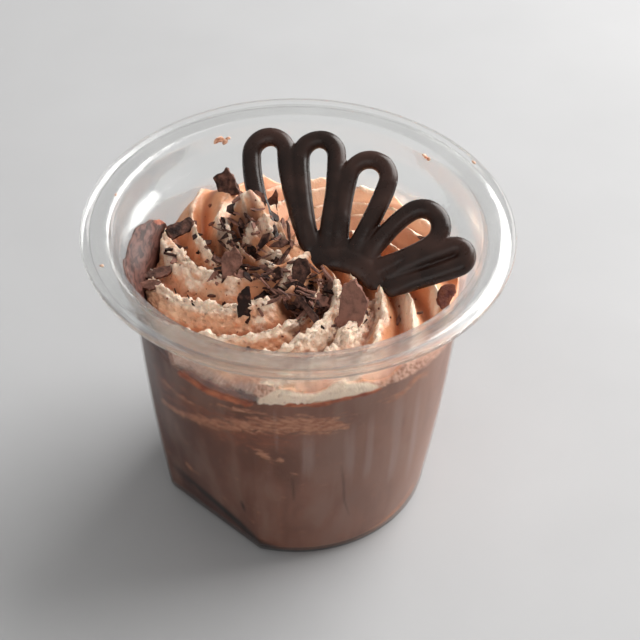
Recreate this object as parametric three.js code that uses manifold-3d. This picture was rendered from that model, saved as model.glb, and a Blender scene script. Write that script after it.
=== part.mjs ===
// Chocolate mousse in its clear pot: a dark mousse fill, a piped rosette of lighter cream with chocolate
// shavings in it, larger chocolate flakes laid on top, and a piped chocolate fan standing in the cream.
// Millimetres, +Z up. The origin is the middle of the pot's foot, on the table.
import * as THREE from 'three';
import Module from 'manifold-3d';

const wasm = await Module();
wasm.setup();

// ---------------------------------------------------------------- driving dimensions

// The pot: a thin moulded shell with a flat sealing flange, whose edge is rolled into a bead.
const COLUMNS = 72; // facets round the pot
const RIM_RADIUS = 47.5; // outside of the bead
const BEAD_HEIGHT = 73.5; // middle of the bead above the table
const BEAD = 1.1; // radius of the bead's round section
const BEAD_ARC = 156; // degrees of that round to either side of its outermost point
const FLANGE_TOP = 74.2;
const FLANGE_BOTTOM = 73.3;
const MOUTH_RADIUS = 40.1; // inside of the neck at the flange
const NECK_FOOT_RADIUS = 39.5; // inside of the neck where the shoulder starts
const NECK_FOOT = 67.5;
const SHOULDER_FOOT = 62;
const SHOULDER_STEP = 0.35; // the share of the shoulder's step outwards that is made at half its height
const EDGE_ROUND = 0.6; // size of the small bevels at the neck's two ends
const WALL = 1.0;
const BASE_RADIUS = 31; // the outside wall carried down to the table
const TOP_RADIUS = 37.2; // the outside wall carried up to TOP_LEVEL
const TOP_LEVEL = 66.5;
const BULGE = 1.0; // how far the wall swells beyond a straight taper
const HEEL = 3.0; // radius between the wall and the foot
const PUSH_UP = 0.6; // how far the middle of the base is lifted off the table
const FOOT_INNER = 23.3; // inner radius of the foot ring
const FLOOR = 1.6;

// Two moulded flats, opposite each other, press the round foot inwards and fade out up the wall.
const FLAT_AZIMUTH = 227.5;
const FLAT_HALF_ANGLE = 27.5;
const FLAT_HEIGHT = 55;

// The contents.
const GAP = 0.3; // between pieces that touch
const FINEST = 0.02; // detail smaller than this is dropped after a cut or a join
const FILL_COLUMNS = 42;
const FILL_LEVEL = 53.8; // mean height of the mousse under the cream
const FILM = 0.9; // of mousse left on the wall round the cream
const SMEAR_AZIMUTH = 172; // where the mousse was dragged up the wall
const SMEAR_HALF_ANGLE = 34;
const SMEAR_RISE = 8.6;
const SMEAR_THICKNESS = 2.6;

// The piped rosette: arms that start at the wall and wind inwards.
const ARMS = 14;
const SPIRAL = 3.2; // degrees an arm turns for each millimetre inwards
const CREAM_COLUMNS = 6 * ARMS;
const CREAM_RINGS = 14;
const CREAM_RADIUS = 36;
const CREAM_CENTRE = 65.5; // height of the crests in the middle
const CREAM_FALL = 5.0; // drop of the crests from the middle to the wall
const ARM_DEPTH = 3.3; // from a crest to the valley beside it
const ARMS_START = [0.04, 0.4]; // shares of the radius between which the arms reach their full depth
const ARMS_END = [0.75, 1]; // and between which the wall presses them flatter
const PRESSED = 0.62; // the share of their depth they keep at the wall
const LEAN = 0.65; // how far an arm leans: 0 has two like faces, 1 a long face and a steep one
const LEAN_POWER = 2.2;
const UNEVEN = 0.4; // how much the arms' depths differ
const ARM_SHIFT = [0, 0, 0, 0, -0.1, -0.22, -0.5, -0.06, 0.3, 0.15, 0, -0.1, -0.2, -0.3]; // off their place
const SHIFT_END = [0.7, 1]; // shares of the radius between which an arm comes back to its place

// Heaps of cream: the one that the fan's first leg pushed up, and a lower one behind it at the left.
const HEAPS = [
  { at: [-10.8, 9.4], spread: 4.1, top: 75.2 },
  { at: [-17.5, 24.5], spread: 4.0, top: 63.6 },
];

// The fan: five loops piped side by side on one flat sheet, joined by a thick stroke along the foot. The
// sheet leans back, and its left side is swung farther back than its right.
const FAN_FOOT = new THREE.Vector3(7.9, -5.1, 63.7);
const FAN_LEAN = 55; // degrees back from upright
const FAN_TURN = 25; // degrees round the upright
const STRAND_HALF_WIDTH = 2.2;
const STRAND_FRONT = 2.0; // how far a strand stands proud of the sheet
const STRAND_BACK = 1.2; // its flatter back
const FAN_LOOPS = [
  { tip: [-24.9, 22.4], radius: 4.1, axis: 112, feet: [[-13.9, -0.2], [-7.6, 4.2]] },
  { tip: [-13.6, 25], radius: 4.2, axis: 111, feet: [[-6.8, 3.3], [-3.8, 4.5]] },
  { tip: [-0.7, 23.5], radius: 4.5, axis: 93, feet: [[-1.3, 5], [1.9, 5.2]] },
  { tip: [14.6, 16.2], radius: 4.5, axis: 54, feet: [[4.8, 5.4], [7.4, 3.6]] },
  { tip: [24.2, 12.4], radius: 2.6, axis: 38, feet: [[9.6, 2.8], [11.6, 0.4]] },
];
const FAN_FOOT_PATH = [[-8.4, 2], [-4.6, 3], [0.5, 4.3], [6, 3.8], [11, 0.8]];
const FAN_FOOT_HALF_WIDTH = 2.8;
const FAN_FOOT_FRONT = 1.4; // this stroke was smoothed flatter than the others

// The larger flakes, each lying or standing in the cream. A flake's corners are measured in its own plane
// from its middle, which is at. face is the compass direction its broad side looks to, and slope is its tilt
// from lying flat.
const FLAKES = [
  {
    name: 'flake_plate', at: [11.9, -17.3, 66.4], thick: 1.1, face: 258, slope: 60,
    corners: [[-2.8, -5.0], [1.7, -6.9], [2.8, -0.7], [3.0, 1.5], [1.1, 4.1], [-0.2, 5.7],
      [-2.7, 4.1]],
  },
  {
    name: 'flake_back', at: [-16.5, 26.7, 65.3], thick: 1.6, face: 250, slope: 50,
    corners: [[-1.9, -2.8], [-0.6, -3.9], [3.7, -2.2], [1.7, 0.5], [-0.9, 2.9], [-3.4, -0.1]],
  },
  {
    name: 'flake_back_left', at: [-26.9, 12.7, 62.0], thick: 1.0, face: 290, slope: 26,
    corners: [[-3.5, 0.4], [-2.6, -2.3], [0.4, -1.5], [2.8, -0.7], [3.8, 0.7], [2.9, 2.2],
      [-1.9, 1.2]],
  },
  {
    name: 'flake_left', at: [-31.4, -1.1, 60.7], thick: 1.0, face: 285, slope: 24,
    corners: [[-3.9, -0.8], [-0.5, -1.5], [2.3, -1.3], [3.6, -0.2], [3.4, 1.0], [-1.3, 0.9]],
  },
  {
    name: 'flake_front_left', at: [-32.5, -6.1, 61.4], thick: 0.9, face: 262, slope: 30,
    corners: [[-2.7, 0.2], [-1.9, -0.9], [-0.0, -1.3], [2.7, 0.2], [2.5, 1.0], [-0.2, 1.3]],
  },
  {
    name: 'flake_upright', at: [-14.6, -4.8, 66.8], thick: 0.9, face: 280, slope: 58,
    corners: [[-2.5, -4.1], [-1.2, -4.9], [0.3, -1.9], [2.2, -0.3], [2.5, 1.0], [1.1, 3.5],
      [-1.4, 2.6], [-2.3, 0.6]],
  },
  {
    name: 'flake_middle', at: [0.6, -7.0, 67.0], thick: 0.9, face: 262, slope: 52,
    corners: [[-2.0, -3.9], [0.0, -4.1], [1.3, -2.1], [2.2, 0.1], [0.8, 2.7], [-0.5, 2.6],
      [-1.9, 1.3]],
  },
  {
    name: 'flake_front', at: [-11.3, -15.5, 65.3], thick: 0.9, face: 265, slope: 60,
    corners: [[-1.5, -3.4], [0.9, -4.7], [1.7, -1.8], [1.2, 1.9], [0.6, 3.3], [-0.1, 3.3],
      [-1.4, 0.9]],
  },
  {
    name: 'flake_right', at: [32.5, -8.9, 62.3], thick: 2.2, face: 285, slope: 40,
    corners: [[-1.7, 0.6], [-0.7, 2.0], [1.0, 2.4], [2.2, 1.6], [2.2, 0.3], [1.0, -0.7],
      [-0.2, -2.8], [-2.0, -3.2], [-2.2, -0.9]],
  },
  {
    name: 'flake_pointed', at: [-6.5, 19.0, 64.8], thick: 0.9, face: 268, slope: 62,
    corners: [[-1.7, -4.4], [1.3, -4.5], [1.7, -1.7], [1.6, 2.2], [1.2, 3.2], [-0.4, 1.2],
      [-1.5, 0.0]],
  },
  {
    name: 'flake_sliver', at: [3.0, -18.4, 64.7], thick: 0.9, face: 240, slope: 38,
    corners: [[-2.0, 0.3], [0.8, -1.5], [3.4, -2.7], [4.2, -2.0], [-0.2, 0.7], [-3.4, 2.7],
      [-4.2, 2.1]],
  },
];

// The shavings: clusters of small chips pressed into the cream.
const SHAVINGS = [
  { centre: [2, -12.5], spread: [9, 6], count: 20 },
  { centre: [-14.2, -1], spread: [6.4, 8], count: 16 },
  { centre: [-10, 17], spread: [8, 7], count: 14 },
  { centre: [-27, 4], spread: [6, 11], count: 8 },
];
const SHAVING_LENGTH = [1.8, 4.4];
const SHAVING_SLIMNESS = [0.35, 0.75]; // width over length
const SHAVING_THICKNESS = 0.6;
const SHAVING_STEEPEST = 75; // degrees from lying flat
const SHAVING_SHOWN = 0.45; // the share of a standing shaving's height that shows

// ---------------------------------------------------------------- small helpers

const radians = THREE.MathUtils.degToRad;
const { lerp, smoothstep } = THREE.MathUtils;

// A repeatable draw between 0 and 1 for whole number n.
function draw(n) {
  const value = Math.sin(n * 12.9898 + 4.1414) * 43758.5453;
  return value - Math.floor(value);
}

// 1 at the centre azimuth, falling smoothly to 0 at halfAngle to either side; all in degrees.
function hump(azimuth, centre, halfAngle) {
  const apart = Math.abs(((azimuth - centre + 540) % 360) - 180);
  return apart < halfAngle ? Math.cos((apart / halfAngle) * Math.PI * 0.5) ** 2 : 0;
}

// Ties neighbouring loops of points into one closed skin and returns it as a solid. A loop of one point is
// a pole. Loops may hold different numbers of points.
function skin(loops) {
  const vertices = loops.flat();
  const faces = [];
  let start = 0;
  for (let k = 0; k + 1 < loops.length; k += 1) {
    const below = loops[k].length;
    const above = loops[k + 1].length;
    const next = start + below;
    let i = 0;
    let j = 0;
    while ((below > 1 && i < below) || (above > 1 && j < above)) {
      const stepBelow = below > 1 && i < below;
      const stepAbove = above > 1 && j < above;
      if (stepBelow && (!stepAbove || (i + 1) / below <= (j + 1) / above)) {
        faces.push([start + (i % below), start + ((i + 1) % below), next + (j % above)]);
        i += 1;
      } else {
        faces.push([start + (i % below), next + ((j + 1) % above), next + (j % above)]);
        j += 1;
      }
    }
    start = next;
  }
  let volume = 0;
  for (const [a, b, c] of faces) {
    volume += vertices[a].dot(vertices[b].clone().cross(vertices[c]));
  }
  const triVerts = new Uint32Array(faces.flatMap(([a, b, c]) => (volume > 0 ? [a, b, c] : [a, c, b])));
  const vertProperties = new Float32Array(vertices.flatMap((v) => v.toArray()));
  return new wasm.Manifold(new wasm.Mesh({ numProp: 3, vertProperties, triVerts }));
}

// The largest piece of a solid, which drops any loose scrap that a cut left.
function largestPiece(solid) {
  return solid.decompose().reduce((best, piece) => (piece.volume() > best.volume() ? piece : best));
}

function meshOf(name, solid, material) {
  const { vertProperties, triVerts } = largestPiece(solid.simplify(FINEST)).getMesh();
  const geometry = new THREE.BufferGeometry();
  geometry.setAttribute('position', new THREE.BufferAttribute(new Float32Array(vertProperties), 3));
  geometry.setIndex(new THREE.BufferAttribute(new Uint32Array(triVerts), 1));
  const mesh = new THREE.Mesh(geometry, material);
  mesh.name = name;
  return mesh;
}

// ---------------------------------------------------------------- the pot's form

// Outside radius of the body wall at height z, before the flats.
function wallRadius(z) {
  const t = z / TOP_LEVEL;
  return lerp(BASE_RADIUS, TOP_RADIUS, t) + BULGE * 4 * t * (1 - t);
}

// The share of its round radius that the wall keeps at this azimuth and height: less than 1 on a flat.
function flatShare(azimuth, z) {
  const fade = 1 - smoothstep(z, 0, FLAT_HEIGHT);
  const apart = Math.abs(((azimuth - FLAT_AZIMUTH + 90 + 720) % 180) - 90);
  if (apart >= FLAT_HALF_ANGLE) {
    return 1;
  }
  const chord = Math.cos(radians(FLAT_HALF_ANGLE)) / Math.cos(radians(apart));
  return 1 - fade * (1 - chord);
}

function ringPoint(radius, azimuth, z) {
  const r = radius * flatShare(azimuth, z);
  return new THREE.Vector3(r * Math.cos(radians(azimuth)), r * Math.sin(radians(azimuth)), z);
}

// A loop of points round the axis; radius and height may be numbers or functions of the azimuth.
function ring(columns, radius, height) {
  return Array.from({ length: columns }, (_, k) => {
    const azimuth = (360 * k) / columns;
    const z = typeof height === 'function' ? height(azimuth) : height;
    const r = typeof radius === 'function' ? radius(azimuth, z) : radius;
    return ringPoint(r, azimuth, z);
  });
}

// Points [radius, height] on an arc about a centre, from one angle to another in degrees.
function arc(centre, radius, from, to, steps) {
  return Array.from({ length: steps + 1 }, (_, k) => {
    const angle = radians(lerp(from, to, k / steps));
    return [centre[0] + radius * Math.cos(angle), centre[1] + radius * Math.sin(angle)];
  });
}

// The wall from one height to another, moved inwards by inset.
function wallRun(from, to, inset, steps) {
  return Array.from({ length: steps + 1 }, (_, k) => {
    const z = lerp(from, to, k / steps);
    return [wallRadius(z) - inset, z];
  });
}

function makeCup() {
  const shoulderOuter = wallRadius(SHOULDER_FOOT);
  const shoulderMiddle = lerp(SHOULDER_FOOT, NECK_FOOT, 0.5);
  const neckOuter = NECK_FOOT_RADIUS + WALL;
  const innerHeel = wallRadius(FLOOR + HEEL) - WALL;
  const beadCentre = [RIM_RADIUS - BEAD, BEAD_HEIGHT];
  const profile = [
    [FOOT_INNER - PUSH_UP, PUSH_UP],
    [FOOT_INNER, 0],
    ...arc([wallRadius(HEEL) - HEEL, HEEL], HEEL, -90, 0, 3),
    ...wallRun(HEEL, SHOULDER_FOOT, 0, 4).slice(1),
    [lerp(shoulderOuter, neckOuter, SHOULDER_STEP), shoulderMiddle - EDGE_ROUND / 2],
    [neckOuter, NECK_FOOT - EDGE_ROUND],
    [MOUTH_RADIUS + WALL, FLANGE_BOTTOM - EDGE_ROUND],
    [MOUTH_RADIUS + WALL + EDGE_ROUND, FLANGE_BOTTOM],
    ...arc(beadCentre, BEAD, -BEAD_ARC, BEAD_ARC, 6),
    [MOUTH_RADIUS + EDGE_ROUND, FLANGE_TOP],
    [MOUTH_RADIUS, FLANGE_TOP - EDGE_ROUND],
    [NECK_FOOT_RADIUS, NECK_FOOT],
    [lerp(shoulderOuter - WALL, NECK_FOOT_RADIUS, SHOULDER_STEP), shoulderMiddle],
    ...wallRun(SHOULDER_FOOT, FLOOR + HEEL, WALL, 4),
    ...arc([innerHeel - HEEL, FLOOR + HEEL], HEEL, -45, -90, 1),
  ];
  const loops = profile.map(([radius, z]) => ring(COLUMNS, radius, z));
  return skin([[new THREE.Vector3(0, 0, PUSH_UP)], ...loops, [new THREE.Vector3(0, 0, FLOOR)]]);
}

// ---------------------------------------------------------------- the contents' form

// Inside radius that is free for the contents at height z.
const fillRadius = (z) => wallRadius(z) - WALL - GAP;

// Height of the mousse's top at the wall, which waves as it was spooned in.
function fillLevel(azimuth) {
  const turn = radians(azimuth - 290);
  return FILL_LEVEL + Math.cos(turn) + Math.cos(4 * turn);
}

// The same for any point under the cream: the waves die out towards the middle.
const fillTop = (azimuth, share) => lerp(FILL_LEVEL, fillLevel(azimuth), share ** 2);

const smear = (azimuth) => hump(azimuth, SMEAR_AZIMUTH, SMEAR_HALF_ANGLE);

// The cream's own radius at a height: against the wall, less a film of mousse and its smear.
const creamRadius = (azimuth, z) => fillRadius(z) - FILM - SMEAR_THICKNESS * smear(azimuth);

function makeMousse() {
  const bottom = FLOOR + GAP;
  const heelTop = FLOOR + HEEL;
  const edgeTop = (azimuth) => fillLevel(azimuth) + SMEAR_RISE * smear(azimuth);
  const side = [0, 0.33, 0.67, 1].map((share) =>
    ring(FILL_COLUMNS, (azimuth, z) => fillRadius(z), (azimuth) => lerp(heelTop, edgeTop(azimuth), share)));
  const under = [0.67, 0.33].map((share) =>
    ring(
      FILL_COLUMNS,
      (azimuth) => share * creamRadius(azimuth, FILL_LEVEL),
      (azimuth) => fillTop(azimuth, share) - GAP,
    ));
  return skin([
    [new THREE.Vector3(0, 0, bottom)],
    ...arc([fillRadius(heelTop) - HEEL, heelTop], heelTop - bottom, -90, -45, 1)
      .map(([radius, z]) => ring(FILL_COLUMNS, radius, z)),
    ...side,
    ring(FILL_COLUMNS, (azimuth, z) => creamRadius(azimuth, z) + 2 * GAP, edgeTop),
    ring(
      FILL_COLUMNS,
      (azimuth, z) => creamRadius(azimuth, z) + 1.6 * GAP,
      (azimuth) => fillTop(azimuth, 1) - GAP,
    ),
    ...under,
    [new THREE.Vector3(0, 0, FILL_LEVEL - GAP)],
  ]);
}

// Height of the cream at a share of its radius. phase counts the arms: a crest is at each whole number,
// with a long face after it and a steep one before it.
function creamHeight(share, phase) {
  const arm = Math.floor(phase);
  const past = phase - arm;
  const leaning = lerp(past, past ** LEAN_POWER, LEAN);
  const crest = CREAM_CENTRE - CREAM_FALL * share ** 2;
  const pressed = lerp(1, PRESSED, smoothstep(share, ...ARMS_END));
  const depth = ARM_DEPTH * smoothstep(share, ...ARMS_START) * pressed;
  const mixed = lerp(draw(arm % ARMS), draw((arm + 1) % ARMS), smoothstep(leaning, 0.25, 0.75));
  const own = UNEVEN * (mixed - 0.5);
  const valley = Math.sin(Math.PI * leaning);
  return crest - depth * ((1 + own) * valley + 0.5 * own + 0.25 * UNEVEN);
}

// How far the arms are off their even places, in arms, at a phase and a share of the radius.
function armShift(phase, share) {
  const arm = Math.floor(phase);
  const shift = lerp(ARM_SHIFT[arm % ARMS], ARM_SHIFT[(arm + 1) % ARMS], phase - arm);
  return shift * (1 - smoothstep(share, ...SHIFT_END));
}

// The arm number, with its fraction, at an azimuth and a distance from the axis.
function armPhase(azimuth, radius) {
  const even = ARMS + ((azimuth - SPIRAL * (CREAM_RADIUS - radius)) / 360) * ARMS;
  return [0, 1, 2, 3].reduce((phase) => even - armShift(phase, radius / CREAM_RADIUS), even);
}

// The height z of the cream at x, y with the heaps on it: a heap draws the cream up towards its top.
function heaped(x, y, z) {
  return HEAPS.reduce((height, { at, spread, top }) => {
    const distance = Math.hypot(x - at[0], y - at[1]) / spread;
    return lerp(height, Math.max(top, height), Math.exp(-0.5 * distance ** 2));
  }, z);
}

function creamTopAt(x, y) {
  const radius = Math.min(Math.hypot(x, y), CREAM_RADIUS);
  const azimuth = (THREE.MathUtils.radToDeg(Math.atan2(y, x)) + 720) % 360;
  return heaped(x, y, creamHeight(radius / CREAM_RADIUS, armPhase(azimuth, radius)));
}

function makeCreamBody() {
  const bottomRing = (share) =>
    ring(
      FILL_COLUMNS,
      (azimuth, z) => share * creamRadius(azimuth, z),
      (azimuth) => fillTop(azimuth, share),
    );
  const topRing = (step) => {
    const share = 1 - (step / CREAM_RINGS) ** 0.9;
    return Array.from({ length: CREAM_COLUMNS }, (_, k) => {
      const phase = (k / CREAM_COLUMNS) * ARMS;
      const shifted = phase + armShift(phase, share);
      const azimuth = (360 * shifted) / ARMS + SPIRAL * CREAM_RADIUS * (1 - share);
      const z = creamHeight(share, phase);
      const edge = creamRadius((azimuth + 360) % 360, z);
      const radius = share * lerp(CREAM_RADIUS, edge, share ** 4);
      const point = ringPoint(radius, azimuth, z);
      return point.setZ(heaped(point.x, point.y, z));
    });
  };
  const top = Array.from({ length: CREAM_RINGS }, (_, step) => topRing(step));
  return skin([
    [new THREE.Vector3(0, 0, FILL_LEVEL)],
    bottomRing(0.33),
    bottomRing(0.67),
    bottomRing(1),
    ...top,
    [new THREE.Vector3(0, 0, CREAM_CENTRE)],
  ]);
}

// ---------------------------------------------------------------- chocolate flakes and shavings

// The outline of a shaving: a few corners round an oval, each a little off.
function shavingOutline(size, seed) {
  const corners = 4;
  return Array.from({ length: corners }, (_, k) => {
    const angle = (2 * Math.PI * (k + 0.5 * draw(seed + k) - 0.25)) / corners;
    const reach = 0.88 + 0.3 * draw(seed + 31 + k);
    return [(size[0] / 2) * reach * Math.cos(angle), (size[1] / 2) * reach * Math.sin(angle)];
  });
}

// A thin chip with the given outline. It swells by grow on every side.
function chip(outline, thick, grow) {
  const half = thick / 2 + grow;
  const swell = [0, 1].map((k) => 1 + grow / Math.max(...outline.map((corner) => Math.abs(corner[k]))));
  const face = (z) => outline.map(([x, y]) => new THREE.Vector3(x * swell[0], y * swell[1], z));
  return skin([[new THREE.Vector3(0, 0, -half)], face(-half), face(half), [new THREE.Vector3(0, 0, half)]]);
}

// Moves a chip from its own flat frame into the pot.
function place(solid, { at, face, slope, turn = 0 }) {
  const matrix = new THREE.Matrix4().makeTranslation(...at);
  matrix.multiply(new THREE.Matrix4().makeRotationZ(radians(face - 270)));
  matrix.multiply(new THREE.Matrix4().makeRotationX(radians(slope)));
  matrix.multiply(new THREE.Matrix4().makeRotationZ(radians(turn)));
  return solid.transform(matrix.elements);
}

const makeFlake = (flake, grow) => place(chip(flake.corners, flake.thick, grow), flake);

function* shavings() {
  let n = 0;
  for (const { centre, spread, count } of SHAVINGS) {
    for (let k = 0; k < count; k += 1) {
      n += 1;
      const pick = (slot) => draw(7 * n + slot);
      const angle = 2 * Math.PI * pick(1);
      const at = [
        centre[0] + spread[0] * Math.sqrt(pick(0)) * Math.cos(angle),
        centre[1] + spread[1] * Math.sqrt(pick(0)) * Math.sin(angle),
      ];
      const length = lerp(...SHAVING_LENGTH, pick(2));
      const size = [length * lerp(...SHAVING_SLIMNESS, pick(3)), length];
      const slope = SHAVING_STEEPEST * pick(4);
      const stand = SHAVING_SHOWN * length * Math.sin(radians(slope));
      at.push(creamTopAt(...at) + 0.5 * (SHAVING_THICKNESS + stand));
      const solid = chip(shavingOutline(size, 400 + 5 * n), SHAVING_THICKNESS, 0);
      yield place(solid, { at, face: 360 * pick(5), slope, turn: 360 * pick(6) });
    }
  }
}

// ---------------------------------------------------------------- the fan

const SHEET_RIGHT = new THREE.Vector3(Math.cos(radians(FAN_TURN)), -Math.sin(radians(FAN_TURN)), 0);
const SHEET_UP = new THREE.Vector3(-SHEET_RIGHT.y, SHEET_RIGHT.x, 0)
  .multiplyScalar(Math.sin(radians(FAN_LEAN)))
  .setZ(Math.cos(radians(FAN_LEAN)));
const SHEET_FRONT = new THREE.Vector3().crossVectors(SHEET_RIGHT, SHEET_UP);

// A point of the sheet carried to its place; proud is its height in front of the sheet.
const onSheet = (point, proud) => FAN_FOOT.clone()
  .addScaledVector(SHEET_RIGHT, point.x)
  .addScaledVector(SHEET_UP, point.y)
  .addScaledVector(SHEET_FRONT, proud);

// A piped strand along a path on the flat sheet: round in front, flatter behind.
function strand(path, halfWidth, front, grow) {
  const sides = 8;
  const loops = path.map((point, k) => {
    const before = path[Math.max(k - 1, 0)];
    const after = path[Math.min(k + 1, path.length - 1)];
    const along = after.clone().sub(before).normalize();
    const across = new THREE.Vector2(-along.y, along.x);
    return Array.from({ length: sides }, (_, s) => {
      const angle = (2 * Math.PI * s) / sides;
      const rise = Math.sin(angle) * (Math.sin(angle) > 0 ? front : STRAND_BACK);
      const swell = (halfWidth + grow) / halfWidth;
      return onSheet(
        point.clone().addScaledVector(across, halfWidth * swell * Math.cos(angle)),
        rise * (1 + grow / STRAND_BACK),
      );
    });
  });
  return skin([[onSheet(path[0], 0)], ...loops, [onSheet(path[path.length - 1], 0)]]);
}

// The centre line of half a loop: up one leg and round to just past the tip. side is 1 for the left half
// and -1 for the right one.
function halfLoopPath({ tip, radius, axis, feet }, side) {
  const foot = new THREE.Vector2(...feet[side > 0 ? 0 : 1]);
  const top = new THREE.Vector2(...tip);
  const forward = new THREE.Vector2(Math.cos(radians(axis)), Math.sin(radians(axis)));
  const across = new THREE.Vector2(-forward.y, forward.x).multiplyScalar(side);
  const shoulder = top.clone().addScaledVector(across, radius);
  const length = foot.distanceTo(shoulder);
  const leg = new THREE.CubicBezierCurve(
    foot,
    foot.clone().lerp(shoulder, 0.25),
    shoulder.clone().addScaledVector(forward, -0.38 * length),
    shoulder,
  );
  const bend = [70, 45, 20, -8].map((degrees) =>
    top.clone()
      .addScaledVector(forward, radius * Math.cos(radians(degrees)))
      .addScaledVector(across, radius * Math.sin(radians(degrees))));
  return [...leg.getSpacedPoints(6), ...bend];
}

function makeFan(grow) {
  const halves = FAN_LOOPS.flatMap((loop) => [halfLoopPath(loop, 1), halfLoopPath(loop, -1)]);
  const strokes = halves.map((path) => strand(path, STRAND_HALF_WIDTH, STRAND_FRONT, grow));
  const footCurve = new THREE.SplineCurve(FAN_FOOT_PATH.map((point) => new THREE.Vector2(...point)));
  strokes.push(strand(footCurve.getSpacedPoints(10), FAN_FOOT_HALF_WIDTH, FAN_FOOT_FRONT, grow));
  return strokes.reduce((sum, stroke) => sum.add(stroke));
}

// ---------------------------------------------------------------- the whole

const clearPlastic = new THREE.MeshStandardMaterial({
  color: '#e9ecec', roughness: 0.08, metalness: 0, transparent: true, opacity: 0.35,
});
const darkMousse = new THREE.MeshStandardMaterial({ color: '#4a2a1e', roughness: 0.5, metalness: 0 });
const pipedCream = new THREE.MeshStandardMaterial({ color: '#c78f6c', roughness: 0.6, metalness: 0 });
const darkChocolate = new THREE.MeshStandardMaterial({ color: '#2b1b17', roughness: 0.4, metalness: 0 });
const brokenChocolate = new THREE.MeshStandardMaterial({ color: '#4b302a', roughness: 0.7, metalness: 0 });

const fanRoom = makeFan(GAP);
const flakeRooms = FLAKES.map((flake) => makeFlake(flake, GAP));
const taken = flakeRooms.reduce((sum, room) => sum.add(room), fanRoom);

const cup = makeCup();
const mousse = largestPiece(makeMousse().subtract(taken));

let cream = makeCreamBody();
for (const shaving of shavings()) {
  if ([taken, mousse, cup].every((solid) => shaving.intersect(solid).isEmpty())) {
    cream = cream.add(shaving);
  }
}
cream = largestPiece(cream.subtract(taken));

const mousseInPot = new THREE.Group();
mousseInPot.add(meshOf('cup', cup, clearPlastic));
mousseInPot.add(meshOf('mousse', mousse, darkMousse));
mousseInPot.add(meshOf('cream', cream, pipedCream));
mousseInPot.add(meshOf('fan', makeFan(0), darkChocolate));
FLAKES.forEach((flake) => {
  mousseInPot.add(meshOf(flake.name, makeFlake(flake, 0), brokenChocolate));
});

export default mousseInPot;
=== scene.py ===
# %% [markdown]
# # Chocolate mousse in a clear pot
# A thin moulded pot holds dark chocolate mousse. A rosette of lighter chocolate cream is piped on top, strewn
# with shavings and flakes of chocolate, and a fan of piped chocolate stands in the cream.
#
# The solid parts come packed as a frame: pot, mousse, cream, fan and eleven flakes. This lesson keeps their
# sizes and gives each one its fine surface and its finish.

# %% Load the solid parts
import math

import bpy
import numpy as np
from mathutils import Matrix, Vector


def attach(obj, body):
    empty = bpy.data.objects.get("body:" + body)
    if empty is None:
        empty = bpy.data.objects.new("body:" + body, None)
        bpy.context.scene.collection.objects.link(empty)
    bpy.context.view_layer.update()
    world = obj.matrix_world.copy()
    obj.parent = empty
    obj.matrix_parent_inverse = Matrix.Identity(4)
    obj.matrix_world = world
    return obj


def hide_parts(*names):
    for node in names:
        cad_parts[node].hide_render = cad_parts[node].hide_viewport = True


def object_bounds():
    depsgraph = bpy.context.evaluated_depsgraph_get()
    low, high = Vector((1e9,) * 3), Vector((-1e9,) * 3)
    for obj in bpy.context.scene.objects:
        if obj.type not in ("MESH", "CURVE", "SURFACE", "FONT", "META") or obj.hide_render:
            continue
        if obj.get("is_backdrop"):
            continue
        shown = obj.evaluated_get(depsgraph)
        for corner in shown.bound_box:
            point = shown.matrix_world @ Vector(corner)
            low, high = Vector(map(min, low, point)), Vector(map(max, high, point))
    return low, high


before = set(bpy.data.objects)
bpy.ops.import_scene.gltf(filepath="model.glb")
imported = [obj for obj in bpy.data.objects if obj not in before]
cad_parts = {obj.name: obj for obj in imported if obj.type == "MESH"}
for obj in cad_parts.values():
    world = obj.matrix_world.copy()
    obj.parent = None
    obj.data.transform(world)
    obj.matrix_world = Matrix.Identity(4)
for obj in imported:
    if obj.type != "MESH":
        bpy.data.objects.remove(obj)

SOLID_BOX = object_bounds()
MM = 0.001
print("solid parts:", sorted(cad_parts))

# %% [markdown]
# ## Small tools for shapes
# All shapes are worked out as numpy arrays in millimetres and become a mesh in one go. A repeatable draw is
# used for everything that is uneven, so the dessert comes out the same each time.


# %% Blending and repeatable draws
def lerp(a, b, t):
    """The value that lies the share t of the way from a to b."""
    return a + (b - a) * t


def smoothstep(value, low, high):
    """0 below low, 1 above high, and an s-curve 3t2 - 2t3 in between."""
    t = np.clip((value - low) / (high - low), 0, 1)
    return t * t * (3 - 2 * t)


def hump(azimuth, centre, half_angle):
    """1 at the centre azimuth, falling as a squared cosine to 0 at half_angle to either side, in degrees."""
    apart = np.abs((azimuth - centre + 540) % 360 - 180)
    return np.where(apart < half_angle, np.cos(apart / half_angle * np.pi / 2) ** 2, 0)


def draw(n):
    """A repeatable number between 0 and 1 for whole number n: the fraction of a large sine."""
    value = np.sin(np.asarray(n) * 12.9898 + 4.1414) * 43758.5453
    return value - np.floor(value)


print("draws:", draw(np.arange(3)).round(3))


# %% Lumps and pits in space
MIXERS = (374761393, 668265263, 1440662683, 1274126177)  # large odd numbers that spread the bits
BITS = 0xFFFFFFFF


def lattice_value(cell, seed):
    """A repeatable number between 0 and 1 for each whole-number cell, by mixing its bits."""
    x, y, z = (cell[..., k].astype(np.int64) for k in range(3))
    mixed = (x * MIXERS[0] + y * MIXERS[1] + z * MIXERS[2] + seed * MIXERS[3]) & BITS
    mixed = ((mixed ^ (mixed >> 13)) * MIXERS[3]) & BITS
    return ((mixed ^ (mixed >> 16)) & 0xFFFF) / 0xFFFF


CORNERS = np.array([[i, j, k] for i in (0, 1) for j in (0, 1) for k in (0, 1)])
AROUND = np.array([[i, j, k] for i in (-1, 0, 1) for j in (-1, 0, 1) for k in (-1, 0, 1)])


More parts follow.
